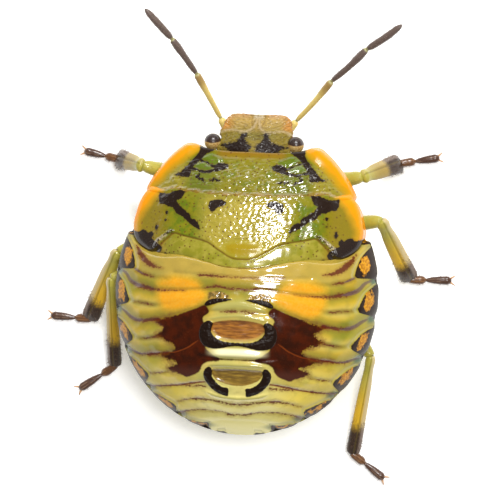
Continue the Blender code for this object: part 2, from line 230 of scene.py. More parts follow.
def place(name, clay, finish, slot, *nodes):
    """Adds the piece and hides the solids it stands for. The slot is not used."""
    piece = bpy.data.objects.new(name, clay.mesh(name))
    piece.data.materials.append(finish)
    bpy.context.scene.collection.objects.link(piece)
    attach(piece, "root")
    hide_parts(*nodes)
    print(name, "has", len(piece.data.polygons), "faces")


# %% [markdown]
# Marks on the skin are drawn flat, as seen from above, with three tools: the distance to a line, a
# brush stroke whose width changes along it, and a filled outline. All work on whole arrays of
# points. Both halves of the bug carry the same marks, so each is drawn once, at |x|.

# %% Drawing tools


def smooth(points, closed=False, parts=6):
    """More points on a smooth curve through the given ones, with any extra columns carried along."""
    points = np.asarray(points, dtype=float)
    if closed:
        points = np.concatenate([points[-1:], points, points[:2]])
    else:
        points = np.concatenate([2 * points[:1] - points[1:2], points, 2 * points[-1:] - points[-2:-1]])
    t = (np.arange(parts) / parts)[:, None]
    out = []
    for a, b, c, d in zip(points, points[1:], points[2:], points[3:]):
        out.append(b + 0.5 * t * (c - a + t * (2 * a - 5 * b + 4 * c - d + t * (3 * (b - c) + d - a))))
    out = np.concatenate(out)
    return out if closed else np.concatenate([out, points[-2:-1]])


def nearest(x, y, line):
    """For each place: distance to the line, and how far along the line its nearest point lies."""
    best = np.full(np.shape(x), np.inf)
    where = np.zeros(np.shape(x))
    run_so_far = 0.0
    for a, b in zip(line, line[1:]):
        run, rise = b[0] - a[0], b[1] - a[1]
        length = math.hypot(run, rise) + 1e-9
        t = np.clip(((x - a[0]) * run + (y - a[1]) * rise) / length**2, 0, 1)
        gap = np.hypot(x - a[0] - t * run, y - a[1] - t * rise)
        closer = gap < best
        best = np.where(closer, gap, best)
        where = np.where(closer, run_so_far + t * length, where)
        run_so_far += length
    return best, where


def distance(x, y, line):
    return nearest(x, y, line)[0]


def stroke(x, y, line):
    """How deep each place lies inside a brush stroke of (x, y, half width) points; outside it is negative."""
    best = np.full(np.shape(x), -np.inf)
    line = smooth(line, parts=4)
    for a, b in zip(line, line[1:]):
        run, rise = b[0] - a[0], b[1] - a[1]
        t = np.clip(((x - a[0]) * run + (y - a[1]) * rise) / (run * run + rise * rise + 1e-9), 0, 1)
        best = np.maximum(best, a[2] + (b[2] - a[2]) * t - np.hypot(x - a[0] - t * run, y - a[1] - t * rise))
    return best


def blob(x, y, outline, parts=4):
    """How deep each place lies inside a closed outline; outside it is negative."""
    outline = smooth(outline, closed=True, parts=parts)
    ends = np.roll(outline, -1, axis=0)
    inside = np.zeros(np.shape(x), dtype=bool)
    for a, b in zip(outline, ends):
        crosses = (a[1] > y) != (b[1] > y)
        inside ^= crosses & (x < (b[0] - a[0]) * (y - a[1]) / (b[1] - a[1] + 1e-12) + a[0])
    away = distance(x, y, np.concatenate([outline, outline[:1]]))
    return np.where(inside, away, -away)


def deepest(*marks):
    """Several marks as one."""
    return np.maximum.reduce(marks)


def from_lines(x, y, lines):
    """The distance from each place to the nearest of several smooth lines."""
    return np.minimum.reduce([distance(x, y, smooth(line)) for line in lines])


def strokes(x, y, lines):
    """Several brush strokes as one mark."""
    return deepest(*[stroke(x, y, line) for line in lines])


# %% [markdown]
# Fine wrinkles and dimples are partly real shape. A cheap way to get smooth, repeatable
# unevenness is a sum of a few sine waves that run in different directions.

# %% Repeatable unevenness


def ripple(x, y, scale, seed=1):
    """Smooth unevenness between about -1 and 1, with bumps about as wide as scale."""
    rng = np.random.default_rng(seed)
    total = np.zeros(np.shape(x))
    for _ in range(9):
        way, size, phase = rng.uniform(0, 2 * math.pi), rng.uniform(0.6, 1.5), rng.uniform(0, 2 * math.pi)
        run = x * math.cos(way) + y * math.sin(way)
        total = total + np.sin(run * 2 * math.pi / (scale * 2 * size) + phase)
    return total / 4.0


def print_range(name, heights):
    print(name, "from", round(float(heights.min()), 3), "to", round(float(heights.max()), 3), "mm")


# %% [markdown]
# Materials are built from nodes. A small class wraps a socket so that sums can be written as
# Python: each operator adds the Math node it stands for. A second class owns one material and
# adds every other node through one method.

# %% Sums with sockets


class Wire:
    """An output socket that can be used in sums."""

    def __init__(self, paint, socket):
        self.paint = paint
        self.socket = socket

    def _sum(self, operation, a, b):
        return self.paint.node("ShaderNodeMath", {"operation": operation}, {0: a, 1: b})

    def __add__(self, other):
        return self._sum("ADD", self, other)

    __radd__ = __add__

    def __sub__(self, other):
        return self._sum("SUBTRACT", self, other)

    def __rsub__(self, other):
        return self._sum("SUBTRACT", other, self)

    def __mul__(self, other):
        return self._sum("MULTIPLY", self, other)

    __rmul__ = __mul__

    def __abs__(self):
        return self._sum("ABSOLUTE", self, 0.0)

    def most(self, other):
        return self._sum("MAXIMUM", self, other)


LIGHT = 1.45  # how much more than a white sheet's worth of light falls on the scene


def seen(red, green, blue):
    """The surface colour that looks like this one, of 0 to 255 on a screen, under the scene's light."""
    values = [c / 255 for c in (red, green, blue)]
    return (*[(c / 12.92 if c <= 0.04045 else ((c + 0.055) / 1.055) ** 2.4) / LIGHT for c in values], 1.0)


class Paint:
    """One material: its nodes, and the mixes they make."""

    def __init__(self, name, **uniform):
        self.material = bpy.data.materials.new(name)
        self.material.use_nodes = True
        self.tree = self.material.node_tree
        self.shader = self.tree.nodes["Principled BSDF"]
        for socket, value in uniform.items():
            self.shader.inputs[socket.replace("_", " ")].default_value = value

    def node(self, kind, settings=None, sockets=None, output=0):
        """Adds a node: its settings first, then the values or wires of its sockets."""
        made = self.tree.nodes.new(kind)
        for key, value in (settings or {}).items():
            setattr(made, key, value)
        for key, value in (sockets or {}).items():
            if isinstance(value, Wire):
                self.tree.links.new(value.socket, made.inputs[key])
            else:
                made.inputs[key].default_value = value
        return Wire(self, made.outputs[output])

    def read(self, name):
        """A named number of the mesh."""
        return self.node("ShaderNodeAttribute", {"attribute_name": name}, output="Fac")

    def spot(self, stretch=(1.0, 1.0, 1.0)):
        """The place on the bug in millimetres, stretched if asked."""
        place = self.node("ShaderNodeAttribute", {"attribute_name": "spot"}, output="Vector")
        if stretch == (1.0, 1.0, 1.0):
            return place
        return self.node("ShaderNodeVectorMath", {"operation": "MULTIPLY"}, {0: place, 1: stretch})

    def sides(self):
        """|x|, y and z of the place, as numbers."""
        parts = self.node("ShaderNodeSeparateXYZ", {}, {0: self.spot()})
        outputs = parts.socket.node.outputs
        return abs(Wire(self, outputs[0])), Wire(self, outputs[1]), Wire(self, outputs[2])

    def noise(self, scale, detail=3.0, stretch=(1.0, 1.0, 1.0), distortion=0.0):
        """Cloudy noise round 0.5, with scale in bumps per millimetre."""
        sockets = {"Vector": self.spot(stretch), "Scale": scale, "Detail": detail, "Distortion": distortion}
        return self.node("ShaderNodeTexNoise", {}, sockets)

    def cells(self, scale, randomness=0.9):
        """Distance to scattered points, with scale in points per millimetre."""
        sockets = {"Vector": self.spot(), "Scale": scale, "Randomness": randomness}
        return self.node("ShaderNodeTexVoronoi", {"feature": "F1"}, sockets, output="Distance")

    def edge(self, value, low, high):
        """0 where value is below low, 1 above high."""
        sockets = {"Value": value, "From Min": low, "From Max": high}
        return self.node("ShaderNodeMapRange", {"interpolation_type": "SMOOTHSTEP"}, sockets)

    def mix(self, share, a, b):
        """Colour a where share is 0, colour b where it is 1. Plain colours are given as they should look."""
        a, b = (colour if isinstance(colour, Wire) else seen(*colour) for colour in (a, b))
        return self.node("ShaderNodeMix", {"data_type": "RGBA"}, {0: share, 6: a, 7: b}, output=2)

    def coat(self, under, *layers):
        """Lays colours over the first one; each layer is its share and its colour."""
        for share, colour in layers:
            under = self.mix(share, under, colour)
        return under

    def bump(self, height, depth):
        """A dent map whose height 1 stands depth metres proud."""
        sockets = {"Height": height, "Distance": depth, "Strength": 1.0}
        return self.node("ShaderNodeBump", {}, sockets)

    def plug(self, **sockets):
        """Feeds the shader's sockets."""
        for name, wire in sockets.items():
            self.tree.links.new(wire.socket, self.shader.inputs[name.replace("_", " ")])
        return self.material


print("tools ready")

# %% [markdown]
# ## The abdomen
# Seen from above the abdomen is a plump oval. Its front edge tucks under the thorax, so its rows
# start ahead of the waist and sink there. Rows bow with the waist at the front and straighten
# towards the tail, where they crowd together because the outline turns.

# %% Rows of the abdomen
WAIST = Curve((
    (0, 0.57), (0.5, 0.60), (1.12, 0.73), (1.86, 0.83), (2.28, 0.81), (2.6, 0.85), (2.78, 0.92),
    (2.95, 1.03), (3.1, 1.17), (3.25, 1.36), (3.6, 1.8),
))
BELLY = Curve((
    (-4.01, 0.0), (-3.99, 0.55), (-3.93, 0.93), (-3.80, 1.31), (-3.60, 1.66), (-3.25, 2.18), (-2.80, 2.65),
    (-2.30, 3.03), (-1.70, 3.35), (-1.00, 3.56), (-0.15, 3.65), (0.5, 3.62), (1.0, 3.52), (1.3, 3.43),
    (1.5, 3.35), (1.7, 3.24), (1.9, 3.1), (2.1, 2.9),
))
TUCK = 0.34  # how far the abdomen reaches under the thorax
WIDEST = -0.15  # where the abdomen is widest
HALF_WIDTH = 3.65
WAIST_CORNER = 2.78  # beyond this place to the side the first row runs on by itself


def belly_outline(y):
    """Half the abdomen's width: a half ellipse behind its widest place, measured places ahead of it."""
    reach = (y - WIDEST) / (WIDEST - TAIL)
    behind = HALF_WIDTH * np.sqrt(np.clip(1 - reach * reach, 0, 1))
    return np.where(y < WIDEST, behind, BELLY(y))


def belly_row(turn, x):
    front = WAIST(0.0) + TUCK
    station = front + (TAIL - front) * np.sin(turn * math.pi / 2)
    ahead = WAIST(np.minimum(x, WAIST_CORNER)) + TUCK + 0.9 * np.maximum(x - WAIST_CORNER, 0) ** 1.3
    return station + (1 - turn) ** 1.6 * (ahead - front)


belly, on_back = body_rings(belly_row, belly_outline, np.arange(270) / 270, over=380, below=120)
bx, by = np.abs(belly[..., 0]), belly[..., 1]
print("abdomen rings:", belly.shape)

# %% [markdown]
# Segments of the back meet in shallow grooves that sweep forward to the sides, and each segment
# has a crease of its own. Their places were read off the photograph and drawn for one side.

# %% Grooves between the segments
SUTURES = (
    ((4.2, 0.62), (3.60, 0.43), (3.38, 0.36), (3.23, 0.18), (3.09, 0.08), (2.94, 0.02), (2.71, -0.03),
     (2.4, -0.08), (1.7, -0.05), (1.0, 0.01), (0, 0.05)),
    ((4.2, -0.42), (3.50, -0.65), (3.32, -0.73), (3.16, -0.86), (2.95, -0.94), (2.74, -0.96), (2.37, -0.92),
     (1.75, -0.74), (1.13, -0.52), (0.95, -0.46)),
    ((4.0, -1.50), (3.43, -1.70), (3.08, -1.81), (2.78, -1.90), (2.37, -1.86), (2.02, -1.82), (1.74, -1.78),
     (1.42, -1.65), (1.19, -1.49), (1.02, -1.38)),
    ((3.4, -2.80), (2.75, -2.81), (2.15, -2.76), (1.74, -2.71), (1.32, -2.64), (0.93, -2.56)),
    ((2.8, -3.85), (1.95, -3.59), (1.65, -3.50), (1.48, -3.43), (1.06, -3.37), (0.51, -3.40), (0.24, -3.46),
     (0, -3.45)),
    ((1.3, -4.2), (1.03, -3.92), (0.9, -3.76), (0.6, -3.67), (0.39, -3.65), (0, -3.66)),
)
CREASES = (
    ((3.2, 0.54), (3.04, 0.45), (2.81, 0.34), (2.47, 0.26), (2.0, 0.22)),
    ((3.2, -0.38), (3.01, -0.45), (2.76, -0.47), (2.43, -0.51), (2.0, -0.48)),
    ((3.1, -1.35), (2.9, -1.43), (2.66, -1.44), (2.31, -1.38), (2.0, -1.34)),
    ((2.9, -2.40), (2.61, -2.41), (2.3, -2.38), (1.97, -2.35)),
    ((2.4, -3.22), (2.0, -3.22), (1.68, -3.14), (1.33, -3.06), (1.05, -3.04), (0.77, -3.05), (0.36, -3.12),
     (0, -3.15)),
)
FOLDS = (  # narrow furrows across the middle of the back
    ((1.9, 0.40), (1.2, 0.37), (0.4, 0.35), (0, 0.35)),
    ((0.90, -0.62), (0.5, -0.60), (0, -0.59)),
    ((1.10, -1.84), (0.86, -1.87), (0.47, -1.91), (0, -1.91)),
)
suture, crease, fold = (from_lines(bx, by, lines) for lines in (SUTURES, CREASES, FOLDS))
print("places nearer than 0.05 mm to a groove:", int((suture < 0.05).sum()))

# %% [markdown]
# The rim is a flat band with one dark spot to a segment. A place on it is best told by how far
# along the outline it lies and how far in from it. Each spot is a leaf: pointed in front, deepest
# behind its middle and blunt at the rear, with a ragged orange centre.

# %% The rim and its spots
OUTLINE = np.array([(belly_outline(y), y) for y in np.linspace(2.1, TAIL, 160)])
rim, along = nearest(bx, by, OUTLINE)
LEAF = Curve((
    (-1.0, 0.0), (-0.85, 0.22), (-0.5, 0.58), (-0.1, 0.80), (0.35, 0.97), (0.65, 1.0), (0.85, 0.80),
    (1.0, 0.10),
))
SPOTS = (  # front and rear end on the long axis, and how far in the spot reaches
    (1.78, 1.42, 0.14), (1.34, 0.46, 0.55), (0.32, -0.60, 0.46), (-0.88, -1.70, 0.39), (-1.95, -2.73, 0.30),
    (-2.95, -3.50, 0.22), (-3.66, -3.90, 0.13), (-3.95, -3.985, 0.05),
)


def place_along(y):
    """How far along the outline the given place on the long axis lies."""
    return float(nearest(np.array(float(belly_outline(y))), np.array(y), OUTLINE)[1])


FAR = 9.0  # stands for no mark near
rim_black = np.full_like(rim, -FAR)
rim_orange = np.full_like(rim, -FAR)
rim_line = np.full_like(rim, FAR)
for front, rear, depth in SPOTS:
    first, last = place_along(front), place_along(rear)
    half = (last - first) / 2
    u = (along - (first + last) / 2) / half - 0.0875 * (rim / depth - 0.5)
    reach = depth * LEAF(u) - half * np.clip(np.abs(u) - 1, 0, FAR)
    rim_black = np.maximum(rim_black, np.minimum(reach - rim, 0.06))
    rim_line = np.minimum(rim_line, np.where(np.abs(u) < 1.05, np.abs(rim - reach - 0.06), FAR))
    if depth > 0.1:
        centre = np.hypot(
            (u - 0.06 - 0.5 * (rim / depth - 0.5)) / 0.60,
            (rim - depth * 0.48) / (depth * 0.25),
        )
        rim_orange = np.maximum(rim_orange, (1 - centre) * depth * 0.25)
print("length of the outline, mm:", round(float(along.max()), 2))

# %% [markdown]
# Three scent gland openings lie on the middle line. The first is a pair of small black strokes
# with wrinkled brown skin before them. The two behind are sunken brown plates, each held from the
# rear by a thick black bracket. Pale folds of skin run between them.

# %% The scent glands
plate_one = blob(bx, by, (
    (-0.70, -0.92), (-0.35, -0.84), (0, -0.82), (0.35, -0.84), (0.70, -0.92), (0.75, -1.07), (0.71, -1.20),
    (0.56, -1.33), (0.30, -1.40), (0, -1.42), (-0.30, -1.40), (-0.56, -1.33), (-0.71, -1.20),
    (-0.75, -1.07),
))
plate_two = blob(bx, by, (
    (-0.70, -2.20), (-0.35, -2.17), (0, -2.16), (0.35, -2.17), (0.70, -2.20), (0.68, -2.37), (0.55, -2.50),
    (0.27, -2.61), (0, -2.64), (-0.27, -2.61), (-0.55, -2.50), (-0.68, -2.37),
))
brown_skin = blob(bx, by, (
    (0.86, -0.22), (0.84, -0.10), (0.6, -0.05), (0.42, -0.09), (0.28, -0.18), (0.34, -0.26), (0.6, -0.28),
    (0.8, -0.32),
))
bracket_one = blob(bx, by, (
    (0.76, -0.87), (0.86, -0.875), (1.00, -0.98), (1.07, -1.18), (1.03, -1.40), (0.91, -1.56),
    (0.70, -1.62), (0.46, -1.61), (0.25, -1.56), (0, -1.53), (-0.2, -1.55), (-0.2, -1.43), (0, -1.44),
    (0.30, -1.43), (0.54, -1.36), (0.71, -1.21), (0.73, -1.06), (0.69, -0.94),
))
bracket_two = blob(bx, by, (
    (0.76, -2.12), (0.85, -2.16), (0.93, -2.28), (0.91, -2.46), (0.78, -2.65), (0.57, -2.82), (0.27, -2.91),
    (0.235, -2.80), (0.24, -2.69), (0.40, -2.66), (0.58, -2.54), (0.69, -2.37), (0.69, -2.22),
))
dashes = blob(bx, by, (
    (0.95, -0.42), (0.86, -0.32), (0.72, -0.265), (0.53, -0.25), (0.26, -0.25), (0.17, -0.27),
    (0.36, -0.325), (0.54, -0.37), (0.75, -0.435), (0.88, -0.47),
))
RIDGES = (  # pale folds: their crest, height and half width
    (((0, -0.40), (0.40, -0.45), (0.75, -0.56), (0.90, -0.66)), 0.030, 0.085),
    (((0, -0.70), (0.40, -0.74), (0.80, -0.82), (0.98, -0.90)), 0.028, 0.050),
    (((0, -1.75), (0.40, -1.77), (0.68, -1.74), (0.84, -1.70)), 0.050, 0.110),
    (((0, -2.05), (0.50, -2.055), (0.82, -2.10), (0.98, -2.24)), 0.045, 0.055),
    (((0, -2.97), (0.30, -2.96), (0.65, -2.90), (1.00, -2.76)), 0.040, 0.055),
)
ridges = np.zeros_like(bx)
ridge_skin = np.full_like(bx, -FAR)
for crest, height, width in RIDGES:
    away = distance(bx, by, smooth(crest))
    ends = 1 - step(crest[-1][0] - 0.35, crest[-1][0] + 0.05, bx)
    ridges = np.maximum(ridges, height * bell(away, width) * ends)
    ridge_skin = np.maximum(ridge_skin, (width * 1.1 - away) * ends - 0.05 * (1 - ends))
plate = deepest(plate_one, plate_two)
brackets = deepest(bracket_one, bracket_two, dashes)
print("deepest place inside a bracket, mm:", round(float(brackets.max()), 3))

# %% [markdown]
# A yellow blotch lies at each side before the brackets, parted by a groove. Behind it a dark
# red-brown field fills the sides of the brackets and frays out to the rim. Fine broken
# lines of the same red-brown follow the grooves.

# %% Coloured fields and fine lines
blotch_front = blob(bx, by, (
    (2.30, 0.16), (2.10, 0.28), (1.78, 0.35), (1.45, 0.31), (1.18, 0.18), (1.08, 0.02), (1.30, -0.06),
    (1.80, -0.08), (2.20, -0.04), (2.34, 0.06),
))
blotch_rear = blob(bx, by, (
    (0.92, -0.08), (0.90, -0.25), (1.04, -0.40), (1.30, -0.54), (1.62, -0.64), (1.92, -0.70),
    (2.15, -0.64), (2.30, -0.45), (2.36, -0.22), (2.30, -0.02), (1.80, 0.02), (1.20, 0.02),
))
blotch = deepest(blotch_front - 0.01, blotch_rear)
red = blob(bx, by, (
    (2.42, -0.93), (2.05, -0.84), (1.75, -0.75), (1.40, -0.62), (1.10, -0.50), (0.94, -0.44), (0.82, -0.57),
    (0.84, -0.68), (0.98, -0.82), (0.85, -1.10), (0.82, -1.40), (0.88, -1.60), (0.72, -1.74), (0.50, -1.86),
    (0.50, -1.97), (0.80, -2.00), (0.96, -2.10), (1.02, -2.24), (1.12, -2.34), (1.30, -2.42), (1.44, -2.46),
    (1.60, -2.38), (1.76, -2.33), (1.95, -2.24), (1.85, -2.16), (1.70, -2.08), (1.80, -2.03), (1.98, -2.00),
    (2.19, -1.90), (2.55, -1.87), (2.10, -1.83), (1.84, -1.74), (1.78, -1.62), (1.95, -1.51), (2.12, -1.45),
    (2.32, -1.36), (2.20, -1.25), (2.08, -1.12), (2.22, -1.02),
), parts=3)
red = deepest(red, stroke(bx, by, (
    (0.9, -1.90, 0.05), (0.6, -1.91, 0.035), (0.3, -1.915, 0.025), (0, -1.915, 0.02),
)))
ember = strokes(bx, by, (  # thin orange lines inside the red
    ((2.0, -1.82, 0.008), (1.74, -1.78, 0.014), (1.42, -1.65, 0.015), (1.19, -1.49, 0.014),
     (1.08, -1.42, 0.0)),
    ((2.5, -2.79, 0.008), (2.0, -2.75, 0.014), (1.5, -2.68, 0.02), (1.1, -2.60, 0.025), (0.90, -2.56, 0.02)),
))
threads = strokes(bx, by, (  # broken red-brown lines
    ((3.06, 1.12, 0.01), (2.97, 0.97, 0.05), (2.85, 0.82, 0.075), (2.68, 0.66, 0.075), (2.48, 0.56, 0.05),
     (2.2, 0.50, 0.0)),
    ((3.04, 0.45, 0.0), (2.81, 0.34, 0.02), (2.62, 0.30, 0.035), (2.47, 0.26, 0.01)),
    ((3.15, 0.12, 0.02), (2.95, 0.02, 0.055), (2.71, -0.03, 0.060), (2.53, -0.07, 0.05),
     (2.30, -0.09, 0.03), (2.0, -0.09, 0.012), (1.5, -0.06, 0.0)),
    ((3.0, -0.45, 0.0), (2.76, -0.47, 0.018), (2.55, -0.50, 0.025), (2.43, -0.51, 0.0)),
    ((3.15, -0.86, 0.02), (2.95, -0.94, 0.04), (2.74, -0.96, 0.045), (2.49, -0.93, 0.045),
     (2.3, -0.90, 0.04)),
    ((2.75, -1.45, 0.0), (2.62, -1.44, 0.022), (2.31, -1.38, 0.022), (2.2, -1.36, 0.0)),
    ((2.98, -1.86, 0.02), (2.78, -1.90, 0.036), (2.37, -1.86, 0.036), (2.0, -1.82, 0.035)),
    ((2.5, -2.40, 0.0), (2.25, -2.38, 0.016), (1.97, -2.35, 0.0)),
    ((2.75, -2.81, 0.01), (2.15, -2.76, 0.022), (1.74, -2.70, 0.022), (1.32, -2.63, 0.018),
     (0.9, -2.56, 0.0)),
    ((1.55, -2.72, 0.0), (1.3, -2.70, 0.016), (0.90, -2.68, 0.022)),
    ((1.72, -3.15, 0.0), (1.40, -3.07, 0.012), (1.15, -3.04, 0.036), (0.95, -3.04, 0.036),
     (0.75, -3.05, 0.018), (0.50, -3.10, 0.02), (0.25, -3.14, 0.030), (0, -3.15, 0.022)),
    ((1.90, -3.57, 0.01), (1.66, -3.50, 0.028), (1.50, -3.44, 0.018), (1.06, -3.37, 0.010),
     (0.51, -3.39, 0.010), (0.24, -3.46, 0.020), (0, -3.45, 0.010)),
    ((1.20, 0.37, 0.0), (1.10, 0.37, 0.030), (0.80, 0.36, 0.030), (0.5, 0.35, 0.022), (0.25, 0.35, 0.008),
     (0, 0.35, 0.006)),
    ((1.02, 0.0, 0.0), (0.85, 0.05, 0.028), (0.66, 0.085, 0.036), (0.45, 0.05, 0.028), (0.20, 0.025, 0.028),
     (0, 0.04, 0.028)),
    ((0.50, -0.61, 0.0), (0.32, -0.595, 0.030), (0.15, -0.585, 0.030), (0.04, -0.59, 0.012)),
))
veils = strokes(bx, by, (  # purple-grey ends of the grooves at the rim
    ((3.52, 0.42, 0.02), (3.34, 0.32, 0.045), (3.20, 0.15, 0.055), (3.05, 0.06, 0.055), (2.90, 0.01, 0.04),
     (2.75, -0.03, 0.01)),
    ((3.45, -0.67, 0.02), (3.30, -0.75, 0.045), (3.14, -0.87, 0.05), (2.95, -0.95, 0.045),
     (2.75, -0.97, 0.01)),
    ((3.35, -1.74, 0.015), (3.15, -1.79, 0.03), (2.95, -1.86, 0.035), (2.75, -1.90, 0.01)),
    ((3.10, 0.49, 0.0), (3.00, 0.44, 0.028), (2.85, 0.36, 0.025), (2.75, 0.32, 0.0)),
    ((2.80, -2.83, 0.01), (2.62, -2.80, 0.024), (2.4, -2.79, 0.01)),
))
print("share of the back under red:", round(float((red[:, on_back] > 0).mean()), 3))

# %% [markdown]
# The underside has smooth plates with a shallow groove between each two, a breathing hole near
# the side of each plate as a small dark ring, and a low blunt ridge along the middle.

# %% Underside of the abdomen
HOLES = ((2.75, 0.70), (2.92, -0.15), (2.85, -1.10), (2.50, -2.05), (1.95, -2.85), (1.25, -3.45))
PLATE_EDGES = (
    ((3.4, 0.38), (2.0, 0.45), (0, 0.30)), ((3.5, -0.60), (2.0, -0.45), (0, -0.60)),
    ((3.5, -1.60), (2.0, -1.40), (0, -1.50)), ((3.1, -2.50), (1.6, -2.25), (0, -2.35)),
    ((2.5, -3.25), (1.2, -2.95), (0, -3.02)), ((1.6, -3.75), (0.8, -3.50), (0, -3.50)),
)
under_edge = from_lines(bx, by, PLATE_EDGES)
hole = np.minimum.reduce([np.hypot(bx - hx, by - hy) for hx, hy in HOLES])
print("breathing holes on each side:", len(HOLES))

# %% [markdown]
# The relief is a height in millimetres, added along the outward direction: segments bulge between
# their grooves, the rim is set off by a furrow, brackets stand up like rolled lips round
# the sunken plates, and the skin ahead of the waist sinks under the thorax.

# %% Relief of the abdomen
quiet = 1 - step(-0.25, 0.05, deepest(plate, brackets))  # no segment relief beside the glands
lips = np.sqrt(np.clip(brackets + 0.01, 0, 0.12) / 0.12)
rough = ripple(bx, by, 0.055, 9)
back_relief = (
    (0.036 * step(0.0, 0.30, suture) - 0.018 * bell(suture, 0.045)) * quiet + 0.034 * (1 - quiet)
    - 0.014 * bell(crease, 0.060) * step(0.15, 0.5, rim)
    - 0.024 * bell(fold, 0.050)
    - 0.012 * bell(rim_line, 0.05) + 0.004 * bell(rim_line - 0.09, 0.05)
    - 0.022 * bell(suture, 0.09) * bell(rim, 0.28)
    + ridges
    - 0.055 * step(-0.02, 0.10, plate)
    + lips * (0.046 + 0.010 * rough)
    + 0.010 * ripple(bx * 0.4, by * 2.2, 0.10, 5) * step(0.03, 0.12, plate)
    + 0.016 * ripple(bx, by, 0.06, 6) * step(-0.02, 0.06, brown_skin)
    + 0.007 * ripple(bx * 0.7, by * 1.6, 0.20, 3) * step(0.3, 0.6, rim) * quiet
)
belly_relief = (
    0.03 * step(0, 0.2, under_edge) - 0.02 * bell(under_edge, 0.04)
    + 0.05 * bell(bx, 0.22) * step(-3.4, -2.5, by) - 0.03 * bell(rim - 0.5, 0.10)
    + 0.035 * bell(hole - 0.07, 0.03) - 0.05 * bell(hole, 0.045)
)
ahead = by - WAIST(bx)
sink = -0.13 * step(-0.04, 0.16, ahead) - 0.10 * step(0.1, 0.5, ahead)
belly_height = np.where(on_back, back_relief, belly_relief) + sink
belly = belly + outward(belly) * belly_height[..., None]

skin = Clay()
only_back = {
    "red": red, "blotch": blotch, "ember": ember, "thread": threads, "veil": veils, "plate": plate,
    "brown_skin": brown_skin, "ridge": ridge_skin, "bracket": brackets,
}
skin.add(
    belly, black=np.where(on_back, deepest(rim_black, brackets), rim_black),
    orange=rim_orange, rim_line=rim_line,
    suture=np.where(on_back, suture, under_edge), crease=np.where(on_back, crease, 1.0), rim=rim,
    below=np.where(on_back, 0.0, 1.0), hole=np.where(on_back, 1.0, hole),
    **{key: np.where(on_back, value, -1.0) for key, value in only_back.items()},
)
print_range("abdomen relief", belly_height)

# %% [markdown]
# The abdomen's cuticle is clear and wet-looking over a soft pigment: pale olive-yellow, greener
# in the furrows and by the rim, almost white towards the tail. The furrows are also painted darker
# as painted shade, the middle of each segment is painted lighter as a painted highlight, and the
# pale tail is partly painted light where its slopes turn away from the lamps. Every mark reads its
# own number from the mesh, and a little noise is added first, so that edges look grown and not cut.

# %% Finish of the abdomen's ground colour
paint = Paint("belly_cuticle", Specular_IOR_Level=0.20, Coat_IOR=1.7, Coat_Roughness=0.08, IOR=1.42)
px, py, _ = paint.sides()
broad = paint.noise(1.1, 2.0)
cloudy = paint.noise(4.0, 3.0)
fine = paint.noise(15.0, 4.0)
freckles = paint.noise(30.0, 2.0)
wander = (fine - 0.5) * 0.07
groove = paint.read("suture")
crease_line = paint.read("crease")
from_rim = paint.read("rim")
below = paint.read("below")

ground = paint.mix(paint.edge(px + (broad - 0.5) * 0.8, 1.2, 3.2), (222, 186, 62), (236, 196, 50))
# Grooves and creases get a darker olive, partly their own greener tint and partly painted shade; the middle
# of each segment gets a painted highlight in pale cream.
ground = paint.coat(
    ground,
    (paint.edge(broad, 0.45, 0.68) * 0.75, (138, 154, 40)),
    (paint.edge(groove, 0.34, 0.06) * 0.78, (136, 130, 18)),
    (paint.edge(groove, 0.20, 0.42) * 0.55, (214, 198, 108)),
    (paint.edge(crease_line, 0.12, 0.0) * 0.70, (134, 128, 26)),
)
# Towards the tail the ground turns cream and the tip almost white: partly the skin's own pale tone, partly
# painted light that makes up for the rear slopes facing away from the lamps.
tail_pale_and_lit = paint.mix(paint.edge(px, 0.7, 1.8), (280, 264, 158), (280, 250, 108))
ground = paint.coat(
    ground,
    (paint.edge(py, -1.4, -3.3) * 0.8, tail_pale_and_lit),
    (paint.edge(py, 0.0, 0.5) * 0.50, (184, 144, 26)),
    (paint.edge(cloudy, 0.5, 0.75) * 0.25, (150, 140, 50)),
    (paint.edge(from_rim, 0.62, 0.40) * 0.40, (206, 188, 92)),
    (paint.edge(from_rim + (cloudy - 0.5) * 0.1, 0.26, 0.05) * 0.55, (132, 136, 66)),
    (paint.edge(py, -3.35, -3.75) * paint.edge(px, 1.5, 0.7) * 0.8, (280, 268, 186)),
)
teal = paint.edge(groove, 0.16, 0.04) * paint.edge(from_rim, 0.22, 0.08)
# The pale line round each rim spot is partly pale skin and partly a painted highlight on the low ridge there.
ground = paint.coat(
    ground,
    (teal * 0.8, (58, 100, 84)),
    (paint.edge(paint.read("rim_line"), 0.04, 0.012) * 0.45, (198, 190, 128)),
)
print("ground colour ready")

# %% [markdown]
# Over the ground lie the fields and lines. Fields with crisp borders use a narrow step, fraying
# ones add coarse noise to the number before the step.

# %% Finish of the abdomen's marks
blotch_in = paint.read("blotch") + (broad - 0.5) * 0.2 + (cloudy - 0.5) * 0.08 + wander
yellow = paint.mix(paint.edge(blotch_in, 0.0, 0.18), (232, 176, 20), (262, 178, 0))
yellow = paint.coat(
    yellow,
    (paint.edge(fine, 0.40, 0.62) * 0.25, (255, 206, 70)),
    (paint.edge(groove, 0.09, 0.0) * 0.6, (196, 136, 8)),
)
ground = paint.mix(paint.edge(blotch_in, -0.15, 0.12), ground, yellow)

frayed = paint.read("red") + (paint.noise(6.0, 6.0) - 0.5) * 0.22 + wander + (freckles - 0.5) * 0.12
outer = paint.edge(px, 1.4, 1.9)
ground = paint.mix(paint.edge(frayed, -0.14, 0.0) * outer * 0.6, ground, (140, 82, 20))
blood = paint.mix(paint.edge(cloudy + (broad - 0.5) * 0.6, 0.30, 0.70), (82, 27, 2), (56, 20, 4))
blood = paint.coat(
    blood,
    (paint.edge(py, -2.05, -2.35) * 0.8, (92, 50, 38)),
    (paint.edge(freckles, 0.62, 0.72) * 0.35, (120, 60, 26)),
)
crisp = paint.read("red") + wander * 0.5
ground = paint.coat(
    ground,
    (paint.edge(crisp * (1 - outer) + frayed * outer, -0.02, 0.03), blood),
    (paint.edge(paint.read("ember") + wander * 0.15, -0.014, 0.008) * 0.8, (146, 66, 18)),
)

